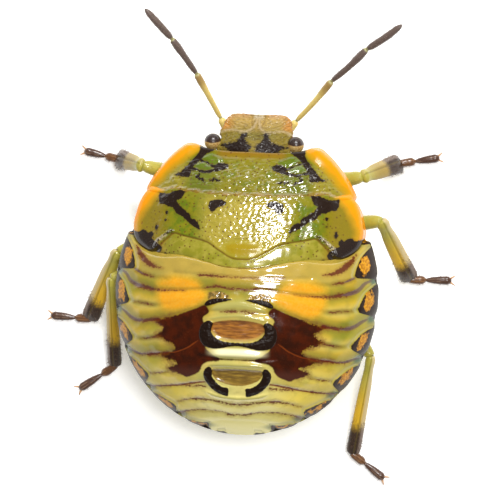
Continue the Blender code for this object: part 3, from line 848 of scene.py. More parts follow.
broken = paint.read("thread") + (paint.noise(11.0, 5.0, (0.6, 1.4, 1.0)) - 0.5) * 0.10
grains = (paint.noise(26.0, 3.0, (0.7, 1.2, 1.0)) - 0.5) * 0.13
lines = paint.mix(fine, (72, 14, 0), (126, 40, 2))
ground = paint.coat(
    ground,
    (paint.edge(broken + grains * 0.5, -0.09, 0.01) * 0.40, (142, 84, 20)),
    (paint.edge(broken + grains, -0.015, 0.022) * 0.9, lines),
    (paint.edge(paint.read("veil") + wander * 0.3, -0.02, 0.02) * 0.8, (112, 86, 80)),
)

fold_skin = paint.read("ridge") + wander * 0.5
brown = paint.mix(paint.edge(paint.noise(10.0, 3.0), 0.4, 0.6), (96, 70, 24), (186, 142, 64))
# The band below the first bracket is painted brighter than any skin here: partly its own pale fold colour,
# partly a painted highlight.
ground = paint.coat(
    ground,
    (paint.edge(fold_skin, 0.0, 0.05) * 0.8, (196, 186, 96)),
    (paint.edge(abs(py + 1.72), 0.16, 0.04) * paint.edge(px, 0.95, 0.40), (294, 284, 224)),
    (paint.edge(paint.read("brown_skin") + wander, -0.04, 0.03) * 0.85, brown),
)

plates = paint.read("plate")
streaks = paint.noise(7.0, 4.0, (0.5, 2.2, 1.0))
amber = paint.mix(paint.edge(streaks, 0.3, 0.7), (132, 74, 10), (196, 126, 34))
olive = paint.mix(paint.edge(streaks, 0.3, 0.7), (122, 88, 8), (172, 136, 36))
tan = paint.mix(paint.edge(py, -1.9, -2.1), amber, olive)
lower_lip = paint.edge(plates, 0.10, 0.02) * paint.edge(abs(py + 1.33), 0.26, 0.10)
tan = paint.mix(lower_lip * 0.8, tan, (206, 176, 84))
ground = paint.mix(paint.edge(plates + wander * 0.4, -0.015, 0.025), ground, tan)

ink = paint.read("black") + wander * 0.5
coal = paint.mix(paint.edge(paint.read("bracket"), -0.02, 0.0), (44, 26, 12), (34, 18, 8))
ground = paint.mix(paint.edge(ink, -0.012, 0.012), ground, coal)
frame_line = paint.edge(from_rim, 0.035, 0.015) * paint.edge(paint.read("black"), -0.08, -0.02)
ground = paint.mix(frame_line, ground, (40, 26, 16))
ragged = paint.read("orange") + (paint.noise(7.0, 4.0) - 0.5) * 0.20
flame = paint.mix(paint.edge(fine, 0.35, 0.65), (190, 122, 10), (244, 172, 26))
ground = paint.mix(paint.edge(ragged, -0.015, 0.02), ground, flame)

pale_under = paint.mix(paint.edge(broad, 0.3, 0.7), (178, 182, 96), (204, 196, 124))
pale_under = paint.coat(
    pale_under,
    (paint.edge(groove, 0.10, 0.0) * 0.5, (140, 142, 60)),
    (paint.edge(paint.read("hole"), 0.10, 0.06), (50, 34, 20)),
)
ground = paint.mix(below * paint.edge(from_rim, 0.18, 0.42), ground, pale_under)

gravel = paint.cells(17.0) * paint.edge(paint.read("bracket"), -0.01, 0.02) * 1.6
dents = paint.noise(22.0, 3.0, (1.0, 1.4, 1.0)) * 0.5 + freckles * 0.2
normal = paint.bump(dents + gravel, 0.000006)
wet = paint.edge(ink, 0.0, -0.03) * paint.edge(paint.read("red"), 0.05, -0.05)
wet = wet * paint.edge(from_rim, 0.35, 0.9) * 0.8
belly_finish = paint.plug(Base_Color=ground, Normal=normal, Coat_Weight=wet,
                          Roughness=0.19 + paint.edge(ink, -0.01, 0.02) * 0.12 + fine * 0.08)
place("abdomen_skin", skin, belly_finish, "belly", "abdomen")

# %% [markdown]
# ## The rear thorax
# Two shields make this part. The front one, the mesonotum, carries the swollen orange margins, the
# wing pads with their black tips and the first hint of a scutellum. Behind it shows a green band,
# the metanotum. The rows run from under the first shield back to the waist.

# %% Rows of the rear thorax
THORAX = Curve((
    (0.94, 2.78), (1.10, 2.96), (1.35, 3.14), (1.65, 3.23), (2.10, 3.18), (2.37, 3.09), (2.55, 2.98),
    (2.63, 2.91), (2.73, 2.93), (3.00, 2.82), (3.30, 2.62), (3.60, 2.38), (3.78, 2.21), (3.92, 2.05),
    (4.03, 1.90), (4.09, 1.74),
))
SEAM = Curve((
    (0, 2.56), (1.1, 2.58), (1.7, 2.63), (2.1, 2.67), (2.35, 2.61), (2.6, 2.60), (2.87, 2.63), (3.3, 2.63),
))


def pad_outline(y):
    return THORAX(y) - 0.12 * step(2.62, 2.9, y)


def thorax_row(turn, x):
    front = SEAM(x) + 0.28
    return front + (WAIST(x) - front) * turn


turns = 1 - (1 - np.linspace(0, 1, 150)) ** 1.15  # rings stand closer towards the rear
thorax, on_back = body_rings(thorax_row, pad_outline, turns, over=360, below=100)
tx, ty = np.abs(thorax[..., 0]), thorax[..., 1]
print("rear thorax rings:", thorax.shape)

# %% [markdown]
# The rear edge of the mesonotum is a low step down: a blunt lobe in the middle, a sweep out to a
# notch, then round the tip of the wing pad. The step is drawn as an outline, and all that lies
# inside it stands proud. The black marks are outlines too.

# %% Marks and edges of the rear thorax
SHIELD_EDGE = (
    (0, 0.84), (0.20, 0.85), (0.38, 0.91), (0.53, 1.00), (0.72, 1.11), (0.97, 1.27), (1.27, 1.36),
    (1.59, 1.42), (1.79, 1.46), (1.95, 1.49), (2.10, 1.38), (2.25, 1.24), (2.41, 1.05), (2.56, 0.97),
    (2.75, 0.93), (2.95, 1.0), (3.10, 1.16), (3.35, 1.4),
)
edge_line = smooth(SHIELD_EDGE)
closing = np.array([(3.9, 1.5), (3.9, 3.4), (-0.6, 3.4), (-0.6, 0.85)])
shield = blob(tx, ty, np.concatenate([edge_line, closing]), parts=1)
margin = THORAX(ty) - tx
fat = 0.26 + 0.22 * step(1.5, 2.7, ty) - margin  # above 0 in the orange roll
patch = blob(tx, ty, (
    (2.47, 2.57), (2.36, 2.57), (2.25, 2.56), (2.10, 2.62), (1.94, 2.69), (1.74, 2.68), (1.79, 2.56),
    (1.87, 2.44), (1.96, 2.39), (1.90, 2.28), (1.77, 2.17), (1.56, 2.04), (1.52, 1.93), (1.38, 1.88),
    (1.27, 1.74), (1.23, 1.62), (1.36, 1.68), (1.57, 1.80), (1.73, 1.95), (1.93, 2.04), (2.04, 2.20),
    (2.17, 2.21), (2.30, 2.28), (2.44, 2.30),
), parts=3)
spot = blob(tx, ty, (
    (1.03, 2.24), (1.02, 2.40), (0.88, 2.44), (0.72, 2.47), (0.57, 2.40), (0.60, 2.32), (0.77, 2.26),
    (0.86, 2.15), (0.97, 2.14),
), parts=3)
pad_tip = blob(tx, ty, (
    (3.50, 1.58), (3.20, 1.56), (3.02, 1.51), (2.92, 1.47), (2.80, 1.54), (2.68, 1.46), (2.60, 1.50),
    (2.54, 1.42), (2.56, 1.30), (2.42, 1.22), (2.30, 1.08), (2.32, 0.98), (2.50, 0.88), (2.80, 0.84),
    (3.05, 0.93), (3.3, 1.2),
), parts=3)
metanotum_black = blob(tx, ty, (
    (2.66, 0.86), (2.50, 0.90), (2.43, 1.01), (2.32, 0.88), (2.20, 0.95), (2.10, 0.92), (2.00, 0.86),
    (2.12, 0.80), (2.45, 0.78),
), parts=3)
thorax_black = deepest(
    patch, spot, pad_tip, metanotum_black,
    0.045 - np.hypot(tx - 2.21, ty - 2.05), 0.028 - np.hypot(tx - 2.22, ty - 1.84),
    0.042 - np.hypot(tx - 2.47, (ty - 1.62) * 0.5),
)
lobe = blob(tx, ty, (
    (-0.45, 1.28), (0, 1.34), (0.45, 1.28), (0.52, 1.10), (0.36, 0.94), (0, 0.87), (-0.36, 0.94),
    (-0.52, 1.10),
))
ridge = distance(tx, ty, smooth(((2.44, 1.11), (2.38, 1.24), (2.25, 1.36), (2.12, 1.48), (1.99, 1.55))))
print("share of the thorax under black:", round(float((thorax_black[:, on_back] > 0).mean()), 3))

# %% [markdown]
# The disc is sunk a little inside the swollen margins. A low pale wrinkle runs in from the wing
# pad, and the rear lip rolls over. On the underside the hips leave round sockets.

# %% Relief of the rear thorax
rear_lip = ty - WAIST(tx)
roll = np.clip(1 - rear_lip / 0.07, 0, 1)
skin_grain = (1 - step(-0.05, 0.1, lobe)) * step(-0.1, 0.1, shield) * (0.55 + 0.45 * step(1.6, 1.1, tx))
inner_skin = step(0.0, 0.18, margin)  # nothing is added at the very edge, so the outline stays
swell = 0.09 * step(0.0, 0.20, margin) * (1 - step(0.20, 0.60, margin))
thorax_back = (
    0.030 * (1 - step(0.2, 0.9, rear_lip))
    + 0.034 * step(-0.02, 0.05, shield) * inner_skin - 0.012 * bell(shield + 0.03, 0.03)
    + 0.035 * step(-0.02, 0.10, shield) * step(1.9, 2.4, tx) * inner_skin
    + swell * step(0.95, 1.4, ty)
    + 0.035 * bell(ridge, 0.045) * (1 + 0.6 * ripple(tx, ty, 0.035, 11))
    + 0.030 * step(0.0, 0.30, lobe)
    - 0.040 * bell(tx - 1.55 - 0.25 * (ty - 1.6), 0.28) * bell(ty - 1.75, 0.45)
    + 0.030 * bell(tx - 1.95, 0.25) * bell(ty - 1.65, 0.25)
    - 0.020 * bell(tx - 2.40, 0.22) * bell(ty - 1.85, 0.45)
    + (0.003 * ripple(tx, ty, 0.12, 7) + 0.0054 * ripple(thorax[..., 0], ty * 1.15, 0.062, 41) * skin_grain)
    * step(0.35, 0.6, margin)
    - 0.05 * (1 - np.sqrt(1 - roll**2))
)
HIPS = ((1.02, 1.70), (1.12, 0.78))
sockets = np.minimum.reduce([np.hypot((tx - hx) / 1.15, ty - hy) for hx, hy in HIPS])
pleura = distance(tx, ty, smooth(((3.1, 1.62), (2.2, 1.50), (1.5, 1.32))))
gland = distance(tx, ty, smooth(((2.5, 1.86), (2.1, 1.80), (1.75, 1.78))))
thorax_under = (
    0.06 * bell(sockets - 0.46, 0.10) - 0.16 * step(0.46, 0.25, sockets)
    - 0.05 * bell(pleura, 0.04) + 0.06 * bell(gland, 0.06) - 0.03 * bell(tx, 0.18)
    + 0.006 * ripple(tx, ty, 0.10, 8)
)
thorax_sink = -0.12 * step(0.02, 0.2, ty - SEAM(tx))
thorax_height = np.where(on_back, thorax_back, thorax_under) + thorax_sink
thorax = thorax + outward(thorax) * thorax_height[..., None]

# The rear wall: the last ring once more, drawn in under the lip.
WALL_MIDDLE = 2.1  # the height that the wall shrinks towards
wall = thorax[-1:] * np.array([0.93, 1.0, 1.0]) + np.array([0.0, 0.02, 0.0])
wall[..., 2] = WALL_MIDDLE + (thorax[-1:, :, 2] - WALL_MIDDLE) * 0.9


def with_wall(values):
    return np.concatenate([values, values[-1:]])


everywhere = np.zeros_like(tx)
skin = Clay()
skin.add(
    np.concatenate([thorax, wall]),
    **{name: with_wall(values) for name, values in {
        "black": np.where(on_back, thorax_black, pad_tip), "fat": np.where(on_back, fat, 0.15 - margin),
        "shield": shield, "lobe": np.where(on_back, lobe, -1.0), "ridge": ridge, "lip": rear_lip,
        "below": everywhere + np.where(on_back, 0.0, 1.0), "first": everywhere, "margin": margin,
        "island": everywhere - 1.0,
    }.items()},
)
print_range("rear thorax relief", thorax_height)

# %% [markdown]
# ## The front thorax
# The pronotum is one broad shield. Its orange shoulders reach forward past the eyes, with a black
# streak inside each, and it ends behind the head in a low collar.

# %% Rows and marks of the front thorax
COLLAR = Curve((
    (0, 3.87), (0.9, 3.89), (1.15, 3.925), (1.30, 3.95), (1.42, 3.98), (1.56, 4.04), (1.70, 4.08),
    (2.2, 4.085),
))


def pronotum_row(turn, x):
    return SEAM(x) - 0.02 + (COLLAR(x) - SEAM(x) + 0.02) * np.sin(turn * math.pi / 2)


pronotum, on_back = body_rings(pronotum_row, THORAX, np.linspace(0, 1, 140), over=340, below=90)
fx, fy = np.abs(pronotum[..., 0]), pronotum[..., 1]
streak = blob(fx, fy, (
    (1.50, 4.14), (1.47, 3.95), (1.48, 3.78), (1.59, 3.63), (1.72, 3.47), (1.85, 3.32), (1.96, 3.20),
    (2.12, 3.13), (1.98, 3.11), (1.85, 3.085), (1.70, 3.09), (1.67, 3.20), (1.64, 3.29), (1.56, 3.42),
    (1.46, 3.54), (1.38, 3.64), (1.27, 3.75), (1.16, 3.82), (1.08, 3.88), (1.10, 4.14),
), parts=3)
bar = blob(fx, fy, (
    (1.62, 3.36), (1.45, 3.305), (1.28, 3.275), (1.10, 3.30), (1.00, 3.345), (1.05, 3.40), (0.90, 3.48),
    (0.72, 3.51), (0.62, 3.47), (0.63, 3.37), (0.73, 3.325), (0.96, 3.265), (1.16, 3.215), (1.36, 3.21),
    (1.48, 3.27), (1.62, 3.26),
), parts=3)
link = stroke(fx, fy, (
    (1.46, 3.60, 0.02), (1.36, 3.545, 0.018), (1.24, 3.505, 0.014), (1.14, 3.455, 0.018),
    (1.05, 3.40, 0.03),
))
specks = strokes(fx, fy, (
    ((1.40, 3.18, 0.02), (1.46, 3.11, 0.035), (1.40, 3.05, 0.03), (1.30, 3.03, 0.03), (1.25, 2.96, 0.02)),
    ((1.09, 3.02, 0.015), (1.00, 3.01, 0.025), (0.95, 3.06, 0.02), (0.87, 3.00, 0.028), (0.82, 3.02, 0.015)),
)) + 0.02 * ripple(fx, fy, 0.04, 31)
upper_island = blob(fx, fy, (
    (1.40, 3.62), (1.17, 3.78), (0.85, 3.70), (0.74, 3.56), (0.87, 3.49), (0.98, 3.43), (1.10, 3.45),
    (1.24, 3.52),
))
lower_island = blob(fx, fy, (
    (1.57, 3.38), (1.50, 3.48), (1.39, 3.53), (1.25, 3.49), (1.15, 3.44), (1.08, 3.36), (1.02, 3.33),
    (1.17, 3.29), (1.33, 3.31), (1.48, 3.34),
))
shoulder_outline = np.array([(THORAX(y), y) for y in np.linspace(2.4, 4.09, 50)])
shoulder = distance(fx, fy, shoulder_outline)
shoulder_orange = blob(fx, fy, (
    (1.47, 4.03), (1.55, 3.88), (1.87, 3.62), (2.23, 3.31), (2.50, 2.99), (2.72, 2.78), (2.74, 2.4),
    (3.3, 2.4), (3.3, 4.3), (1.62, 4.3),
), parts=3)
pronotum_black = deepest(streak, bar, link, specks)
print("front thorax rings:", pronotum.shape)

# %% [markdown]
# The shoulders swell in a roll with a furrow inside it. Across the disc run soft wrinkles, and two
# low smooth calluses lie between the black loops.

# %% Relief of the front thorax
front_lip = COLLAR(fx) - fy
behind = fy - SEAM(fx) + 0.02
curl = np.clip(1 - behind / 0.06, 0, 1)
nose = np.clip(1 - front_lip / 0.07, 0, 1)
disc = step(0.4, 0.6, shoulder)
pronotum_back = (
    0.085 * step(-0.14, 0.18, shoulder_orange) * step(1.5, 1.8, fx) * step(0.0, 0.20, front_lip)
    * step(-0.02, 0.16, shoulder)
    + 0.030 * step(0, 0.10, upper_island) + 0.025 * step(0, 0.08, lower_island)
    - 0.010 * bell(front_lip - 0.16, 0.06) * (1 - step(0.9, 1.3, fx))
    + 0.035 * bell(behind - 0.05, 0.10) - 0.022 * bell(behind - 0.20, 0.06) * disc
    + (0.009 * ripple(pronotum[..., 0] * 0.35, fy, 0.065, 17)
       + 0.008 * ripple(pronotum[..., 0], fy, 0.09, 18))
    * disc * step(0.1, 0.4, front_lip)
    - 0.05 * (1 - np.sqrt(1 - curl**2)) - 0.05 * (1 - np.sqrt(1 - nose**2))
)
front_socket = np.hypot((fx - 0.86) / 1.15, fy - 2.86)
pronotum_under = (
    0.06 * bell(front_socket - 0.46, 0.10) - 0.16 * step(0.46, 0.25, front_socket)
    - 0.03 * bell(fx, 0.16) + 0.006 * ripple(fx, fy, 0.1, 19) - 0.09 * (1 - np.sqrt(1 - nose**2))
    - 0.05 * bell(distance(fx, fy, smooth(((2.8, 3.0), (2.0, 3.1), (1.5, 3.2)))), 0.04)
)
pronotum_height = np.where(on_back, pronotum_back, pronotum_under)
pronotum = pronotum + outward(pronotum) * pronotum_height[..., None]


EDGE_MIDDLE = 2.0  # the height that the walls shrink towards


def walled(rings):
    """Draws the first and the last ring in twice, so that the shield has thick edges."""
    walls = []
    for ring, way in ((rings[:1], 1), (rings[-1:], -1)):
        for narrow, inward, thin in ((0.94, 0.02, 0.82), (0.88, 0.25, 0.10)):
            wall = ring * np.array([narrow, 1.0, 1.0]) + np.array([0.0, inward * way, 0.0])
            wall[..., 2] = EDGE_MIDDLE + (ring[..., 2] - EDGE_MIDDLE) * thin
            walls.append(wall)
    return np.concatenate([walls[1], walls[0], rings, walls[2], walls[3]])


def doubled(values):
    return np.concatenate([values[:1], values[:1], values, values[-1:], values[-1:]])


everywhere = np.zeros_like(fx)
skin.add(
    walled(pronotum),
    **{name: doubled(values) for name, values in {
        "black": np.where(on_back, pronotum_black, 0.08 - front_lip - 0.5 * step(1.25, 1.05, fx)),
        "fat": np.where(
            on_back,
            shoulder_orange - 0.4 * step(1.50, 1.38, fx),
            0.20 - shoulder - 0.5 * step(1.75, 1.60, fx),
        ),
        "shield": everywhere + 1.0, "lobe": everywhere - 1.0, "ridge": everywhere + 1.0, "lip": behind,
        "below": everywhere + np.where(on_back, 0.0, 1.0), "first": everywhere + 1.0, "margin": shoulder,
        "island": deepest(upper_island, lower_island),
    }.items()},
)
print_range("front thorax relief", pronotum_height)

# %% [markdown]
# Both shields share one cuticle: olive green with a golden middle, bright orange rolls at the
# sides, and a skin that catches the light like hammered metal. The larger dents are real relief
# in the mesh, and bump adds the finest, which are smaller than its faces. The dark dots on the
# green are dents with pigment in them.

# %% Ground colours of the thorax
paint = Paint("shield_cuticle", Specular_IOR_Level=0.30, Coat_Roughness=0.04, Coat_IOR=1.6, IOR=1.45)
px, py, _ = paint.sides()
broad = paint.noise(1.6, 2.0)
cloudy = paint.noise(4.5, 3.0)
fine = paint.noise(15.0, 4.0)
wander = (fine - 0.5) * 0.06
first = paint.read("first")
shield_in = paint.read("shield")
lobe_in = paint.read("lobe")
fat_in = paint.read("fat")
rear = paint.read("lip")

front_green = paint.mix(paint.edge(px + (broad - 0.5) * 0.8, 0.4, 1.4), (143, 133, 6), (114, 120, 2))
front_green = paint.coat(
    front_green,
    (paint.edge(cloudy, 0.48, 0.68) * 0.6, (98, 118, 2)),
    (paint.edge(paint.read("island"), -0.02, 0.04) * 0.9, (102, 122, 10)),
    (paint.edge(px, 1.55, 1.95) * 0.8, (168, 150, 34)),
)
collar = paint.edge(py + (cloudy - 0.5) * 0.2, 3.55, 3.80) * paint.edge(px, 1.15, 0.8)
front_green = paint.mix(collar * 0.6, front_green, (160, 104, 22))
tail_band = paint.edge(rear + (cloudy - 0.5) * 0.2, 0.24, 0.03)
front_green = paint.mix(tail_band * 0.6, front_green, (158, 104, 14))

gold = paint.mix(paint.edge(broad, 0.3, 0.7), (168, 152, 34), (190, 170, 58))
sides = paint.mix(paint.edge(cloudy, 0.40, 0.62), (138, 134, 6), (106, 122, 2))
second = paint.mix(paint.edge(px + (broad - 0.5) * 0.4, 1.55, 0.95), sides, gold)
second = paint.coat(
    second,
    (paint.edge(px, 2.02, 2.45), (148, 128, 0)),
    (paint.edge(py, 2.35, 2.60) * paint.edge(px, 2.4, 2.0) * 0.6, (150, 140, 26)),
)
band = paint.mix(paint.edge(cloudy, 0.35, 0.65), (150, 144, 22), (176, 164, 54))
band = paint.mix(paint.edge(px, 2.05, 2.45) * 0.7, band, (176, 134, 14))
second = paint.coat(
    second,
    (paint.edge(shield_in, 0.012, -0.012), band),
    (paint.edge(lobe_in, 0.02, 0.12), (174, 148, 20)),
)
seam = paint.edge(abs(shield_in), 0.030, 0.004)
second = paint.mix(seam * 0.65, second, (128, 84, 16))
hem = paint.edge(rear + (cloudy - 0.5) * 0.08, 0.07, 0.01) * paint.edge(px, 2.7, 2.4)
second = paint.mix(hem * 0.7, second, (150, 92, 14))
wrinkle_ink = paint.mix(paint.edge(paint.noise(9.0, 2.0), 0.46, 0.54), (58, 38, 14), (206, 190, 150))
ridge_share = paint.edge(paint.read("ridge") + (fine - 0.5) * 0.12, 0.06, 0.01) * 0.85
second = paint.mix(ridge_share, second, wrinkle_ink)
ground = paint.mix(first, second, front_green)
print("thorax ground colours ready")

# %% [markdown]
# Dots, margins and ink come next. The orange is brightest at the edge and fades through yellow to
# the green of the disc.

# %% Marks and gloss of the thorax
dots = paint.cells(8.6, randomness=1.0)
pick = paint.edge(paint.noise(2.2, 1.0), 0.26, 0.38)
smooth_lobe = paint.edge(lobe_in, 0.0, -0.1)
ground = paint.mix(paint.edge(dots, 0.27, 0.14) * pick * smooth_lobe * 0.85, ground, (104, 62, 4))
ochre = paint.mix(paint.edge(fat_in + (cloudy - 0.5) * 0.1, -0.02, 0.14), (212, 158, 10), (268, 166, 0))
ochre = paint.mix(paint.edge(paint.read("margin"), 0.10, 0.0) * 0.35, ochre, (262, 146, 0))
roll_in = fat_in + (broad - 0.5) * 0.12 + (cloudy - 0.5) * 0.08
ground = paint.mix(paint.edge(roll_in, -0.16, 0.02), ground, ochre)
ink = paint.read("black") + (paint.cells(10.0) - 0.4) * 0.035 + wander * 0.6
ground = paint.coat(
    ground,
    (paint.edge(ink, -0.05, 0.0) * 0.35, (104, 70, 10)),
    (paint.edge(ink, -0.010, 0.010), (36, 18, 4)),
)
below = paint.read("below")
under = paint.mix(paint.edge(broad, 0.3, 0.7), (176, 176, 84), (200, 188, 110))
ground = paint.mix(below * paint.edge(fat_in, 0.10, -0.05), ground, under)

hammered = paint.noise(6.5, 1.0, (0.9, 1.2, 1.0), 0.6) * 2.0
wrinkled = paint.noise(7.0, 1.0, (0.5, 1.5, 1.0), 0.6) * 2.0
inner = paint.edge(fat_in, 0.05, -0.20) * (1 - below)
middle = paint.edge(px, 1.55, 1.05) * paint.edge(py, 1.15, 1.45) * smooth_lobe
rough_skin_share = (1 - first) * inner * (0.30 + middle * 0.7)
rough_skin_share = rough_skin_share * smooth_lobe * paint.edge(shield_in, -0.1, 0.1)
rough_front_share = first * inner * paint.edge(py, 3.75, 3.35)
height = hammered * rough_skin_share + wrinkled * rough_front_share
height = height + paint.edge(dots, 0.06, 0.2) * inner * 0.12 + fine * 0.10
normal = paint.bump(height, 0.000022)
behind_step = paint.edge(shield_in, 0.0, -0.05) * (1 - below) * (1 - first)
no_ink = 0.5 + paint.edge(ink, 0.03, -0.02) * 0.5
wet = 0.06 + (rough_skin_share * 0.9 + rough_front_share * 0.8) * no_ink + behind_step * 0.5
wet = wet + paint.edge(px, 2.25, 2.45) * paint.edge(fat_in, 0.1, -0.05) * (1 - first) * (1 - below) * 0.5
shield_finish = paint.plug(Base_Color=ground, Normal=normal, Roughness=0.17 + fine * 0.1, Coat_Weight=wet)
place("thorax_skin", skin, shield_finish, "shell", "rear_thorax", "front_thorax")

# %% [markdown]
# ## The head
# The head is a broad flat scoop. Two cheek plates with square front corners flank a narrow middle
# lobe that lies a little lower. Its rear slides under the collar. The bug holds it turned a
# touch to its right, so the skin leans that way towards the tip.

# %% Rows and marks of the head
HEAD = Curve((
    (3.4, 0.95), (3.90, 1.05), (4.05, 1.01), (4.22, 0.96), (4.34, 1.00), (4.43, 1.02), (4.56, 0.97),
    (4.66, 0.95), (4.76, 0.91), (4.84, 0.84), (4.89, 0.76), (4.92, 0.66), (4.93, 0.60),
))
HEAD_LEAN = 0.07  # how far the tip lies to one side
NOSE = 4.93
NECK = 3.52


def head_row(turn, x):
    station = NECK + (NOSE - NECK) * np.sin(turn * math.pi / 2) ** 0.9
    return station - 0.045 * turn**6 * (1 - step(0.10, 0.22, x)) - 0.04 * turn**6 * step(0.60, 0.95, x)


head, on_back = body_rings(head_row, HEAD, np.linspace(0.0, 1, 150), over=260, below=80)
hx, hy = np.abs(head[..., 0]), head[..., 1]
lobe_side = smooth(((0.17, 4.95), (0.18, 4.84), (0.17, 4.72), (0.14, 4.60), (0.10, 4.52)))
groove = distance(hx, hy, lobe_side)
fork = distance(hx, hy, smooth(((0.03, 4.74), (0.06, 4.62), (0.13, 4.50), (0.27, 4.41), (0.42, 4.40))))
brow = distance(hx, hy, smooth(((0.99, 4.34), (0.90, 4.41), (0.74, 4.46), (0.58, 4.44), (0.42, 4.40))))
head_black = blob(hx, hy, (
    (0.96, 4.01), (0.86, 4.05), (0.74, 4.07), (0.57, 4.10), (0.47, 4.14), (0.41, 4.22), (0.38, 4.33),
    (0.30, 4.38), (0.22, 4.36), (0.24, 4.27), (0.24, 4.18), (0.16, 4.09), (0.075, 4.02), (0.085, 3.96),
    (0.14, 3.86), (0.45, 3.80), (0.70, 3.88), (0.82, 3.97),
), parts=3)
print("head rings:", head.shape)

# %% [markdown]
# Wrinkles on the cheeks run slantwise to the front. A pale raised Y marks the root of the middle
# lobe, a pale brow leads from it to each eye, and the whole margin is a fine upturned rim.

# %% Relief of the head
head_margin = np.minimum(HEAD(hy) - hx, NOSE - hy)
wrinkle = np.sin((hy * 0.95 - hx * 0.5 + 0.03 * np.sin(hx * 13) + 0.01 * np.sin(hy * 31)) * 70) * 0.5 + 0.5
cheeks = step(0.20, 0.32, hx) * step(4.40, 4.55, hy)
nape = bell(hy - 4.22, 0.14) * step(0.3, 0.5, hx)
head_back = (
    -0.016 * bell(groove, 0.022) + 0.020 * bell(hx, 0.12) * step(4.5, 4.65, hy)
    + 0.024 * bell(fork, 0.045) - 0.010 * bell(fork - 0.09, 0.04)
    + 0.026 * bell(brow, 0.055)
    + 0.006 * wrinkle * cheeks + 0.008 * ripple(hx * 0.8, hy * 1.8, 0.06, 23)
    + 0.008 * ripple(hx, hy * 1.2, 0.045, 25) * nape
    + 0.030 * bell(head_margin - 0.04, 0.035)
    - 0.045 * bell(hx - 0.74, 0.16) * bell(hy - 4.60, 0.12)
    + 0.030 * bell(hx - 0.50, 0.2) * bell(hy - 4.22, 0.12)
    - 0.020 * bell(hx, 0.16) * bell(hy - 4.28, 0.10)
)
head_under = 0.01 * ripple(hx, hy, 0.1, 24) - 0.05 * bell(hx - 0.22, 0.06) * step(4.9, 4.6, hy)
head_sink = -0.10 * step(0.10, -0.10, hy - 3.86)
head_height = np.where(on_back, head_back, head_under) + head_sink
print_range("head relief", head_height)
head = head + outward(head) * head_height[..., None]
head[..., 0] += HEAD_LEAN * step(3.9, 4.95, head[..., 1])
skin = Clay()
skin.add(head, black=np.where(on_back, head_black, -1.0), groove=groove, fork=np.minimum(fork, brow + 0.015),
         margin=head_margin, wrinkle=wrinkle * cheeks, below=np.where(on_back, 0.0, 1.0),
         side=hx, lengthwise=hy)

# %% [markdown]
# Colours of the head go from black patches at the neck over green-brown to tan cheeks with
# orange corners and a fine reddish edge. The skin is wrinkled and less glossy than the shields.

# %% Finish of the head
paint = Paint("head_cuticle", Specular_IOR_Level=0.24, Coat_Weight=0.10, Coat_Roughness=0.07, IOR=1.42)
px = paint.read("side")
py = paint.read("lengthwise")
broad = paint.noise(2.4, 2.0)
fine = paint.noise(24.0, 4.0)
wander = (fine - 0.5) * 0.06
streaky = paint.noise(15.0, 4.0, (0.6, 1.7, 1.0), 0.5)
ground = paint.mix(paint.edge(py + (broad - 0.5) * 0.25, 4.35, 4.76), (148, 128, 44), (196, 162, 84))
ground = paint.coat(
    ground,
    (paint.edge(px + (broad - 0.5) * 0.2, 0.60, 0.93) * paint.edge(py, 4.36, 4.60) * 0.9, (210, 134, 40)),
    (paint.edge(py, 4.74, 4.92) * paint.edge(px, 0.16, 0.3) * 0.6, (228, 172, 122)),
    (paint.edge(px, 0.18, 0.10) * paint.edge(py, 4.72, 4.86) * 0.75, (212, 196, 164)),
    (paint.edge(px, 0.85, 0.3) * paint.edge(abs(py - 4.30), 0.16, 0.05) * 0.5, (124, 118, 34)),
    (paint.edge(streaky, 0.44, 0.64) * 0.5, (106, 84, 34)),
    (paint.edge(paint.read("wrinkle") + (fine - 0.5) * 0.6, 0.45, 0.95) * 0.22, (226, 196, 140)),
    (paint.edge(paint.read("fork") + wander + (streaky - 0.5) * 0.12, 0.075, 0.0) * 0.65, (204, 180, 138)),
    (paint.edge(paint.read("groove"), 0.03, 0.0) * 0.35, (128, 96, 66)),
    (paint.edge(paint.read("margin"), 0.045, 0.005) * 0.7, (150, 66, 26)),
)
bars = paint.edge(paint.noise(16.0, 2.0, (0.25, 2.4, 1.0)), 0.52, 0.62) * paint.edge(px, 0.30, 0.12)
ground = paint.mix(bars * paint.edge(abs(py - 4.30), 0.16, 0.06) * 0.7, ground, (74, 48, 20))
ink = paint.read("black") + wander + (streaky - 0.5) * 0.20
ground = paint.coat(
    ground,
    (paint.edge(ink, -0.07, 0.0) * 0.55, (84, 68, 30)),
    (paint.edge(ink, -0.02, 0.02), (34, 18, 8)),
    (paint.read("below"), (186, 176, 96)),
)
normal = paint.bump(streaky * 0.9 + fine * 0.4, 0.000014)
head_finish = paint.plug(Base_Color=ground, Normal=normal, Roughness=0.30 + fine * 0.12)
place("head_skin", skin, head_finish, "head", "head")

# %% [markdown]
# ## The eyes
# Each eye is a ball of hundreds of facets: glossy dark brown on top and in front,
# cream at the rear. The ball is kept whole; the head hides its inner side.

# %% Eyes
EYE_REACH = (0.235, 0.235, 0.24)
EYE_SPOT = (1.165, 4.105, 1.80)


def ball(centre, reach, rings=48, columns=64):
    """A ball of rings about the x axis."""
    polar = np.linspace(0.02, math.pi - 0.02, rings)[:, None]
    round_it = np.linspace(0, 2 * math.pi, columns, endpoint=False)[None, :]
    shape = np.stack([
        np.cos(polar) * np.ones_like(round_it),
        np.sin(polar) * np.cos(round_it),
        np.sin(polar) * np.sin(round_it),
    ], axis=-1)
    return np.asarray(centre) + shape * np.asarray(reach)


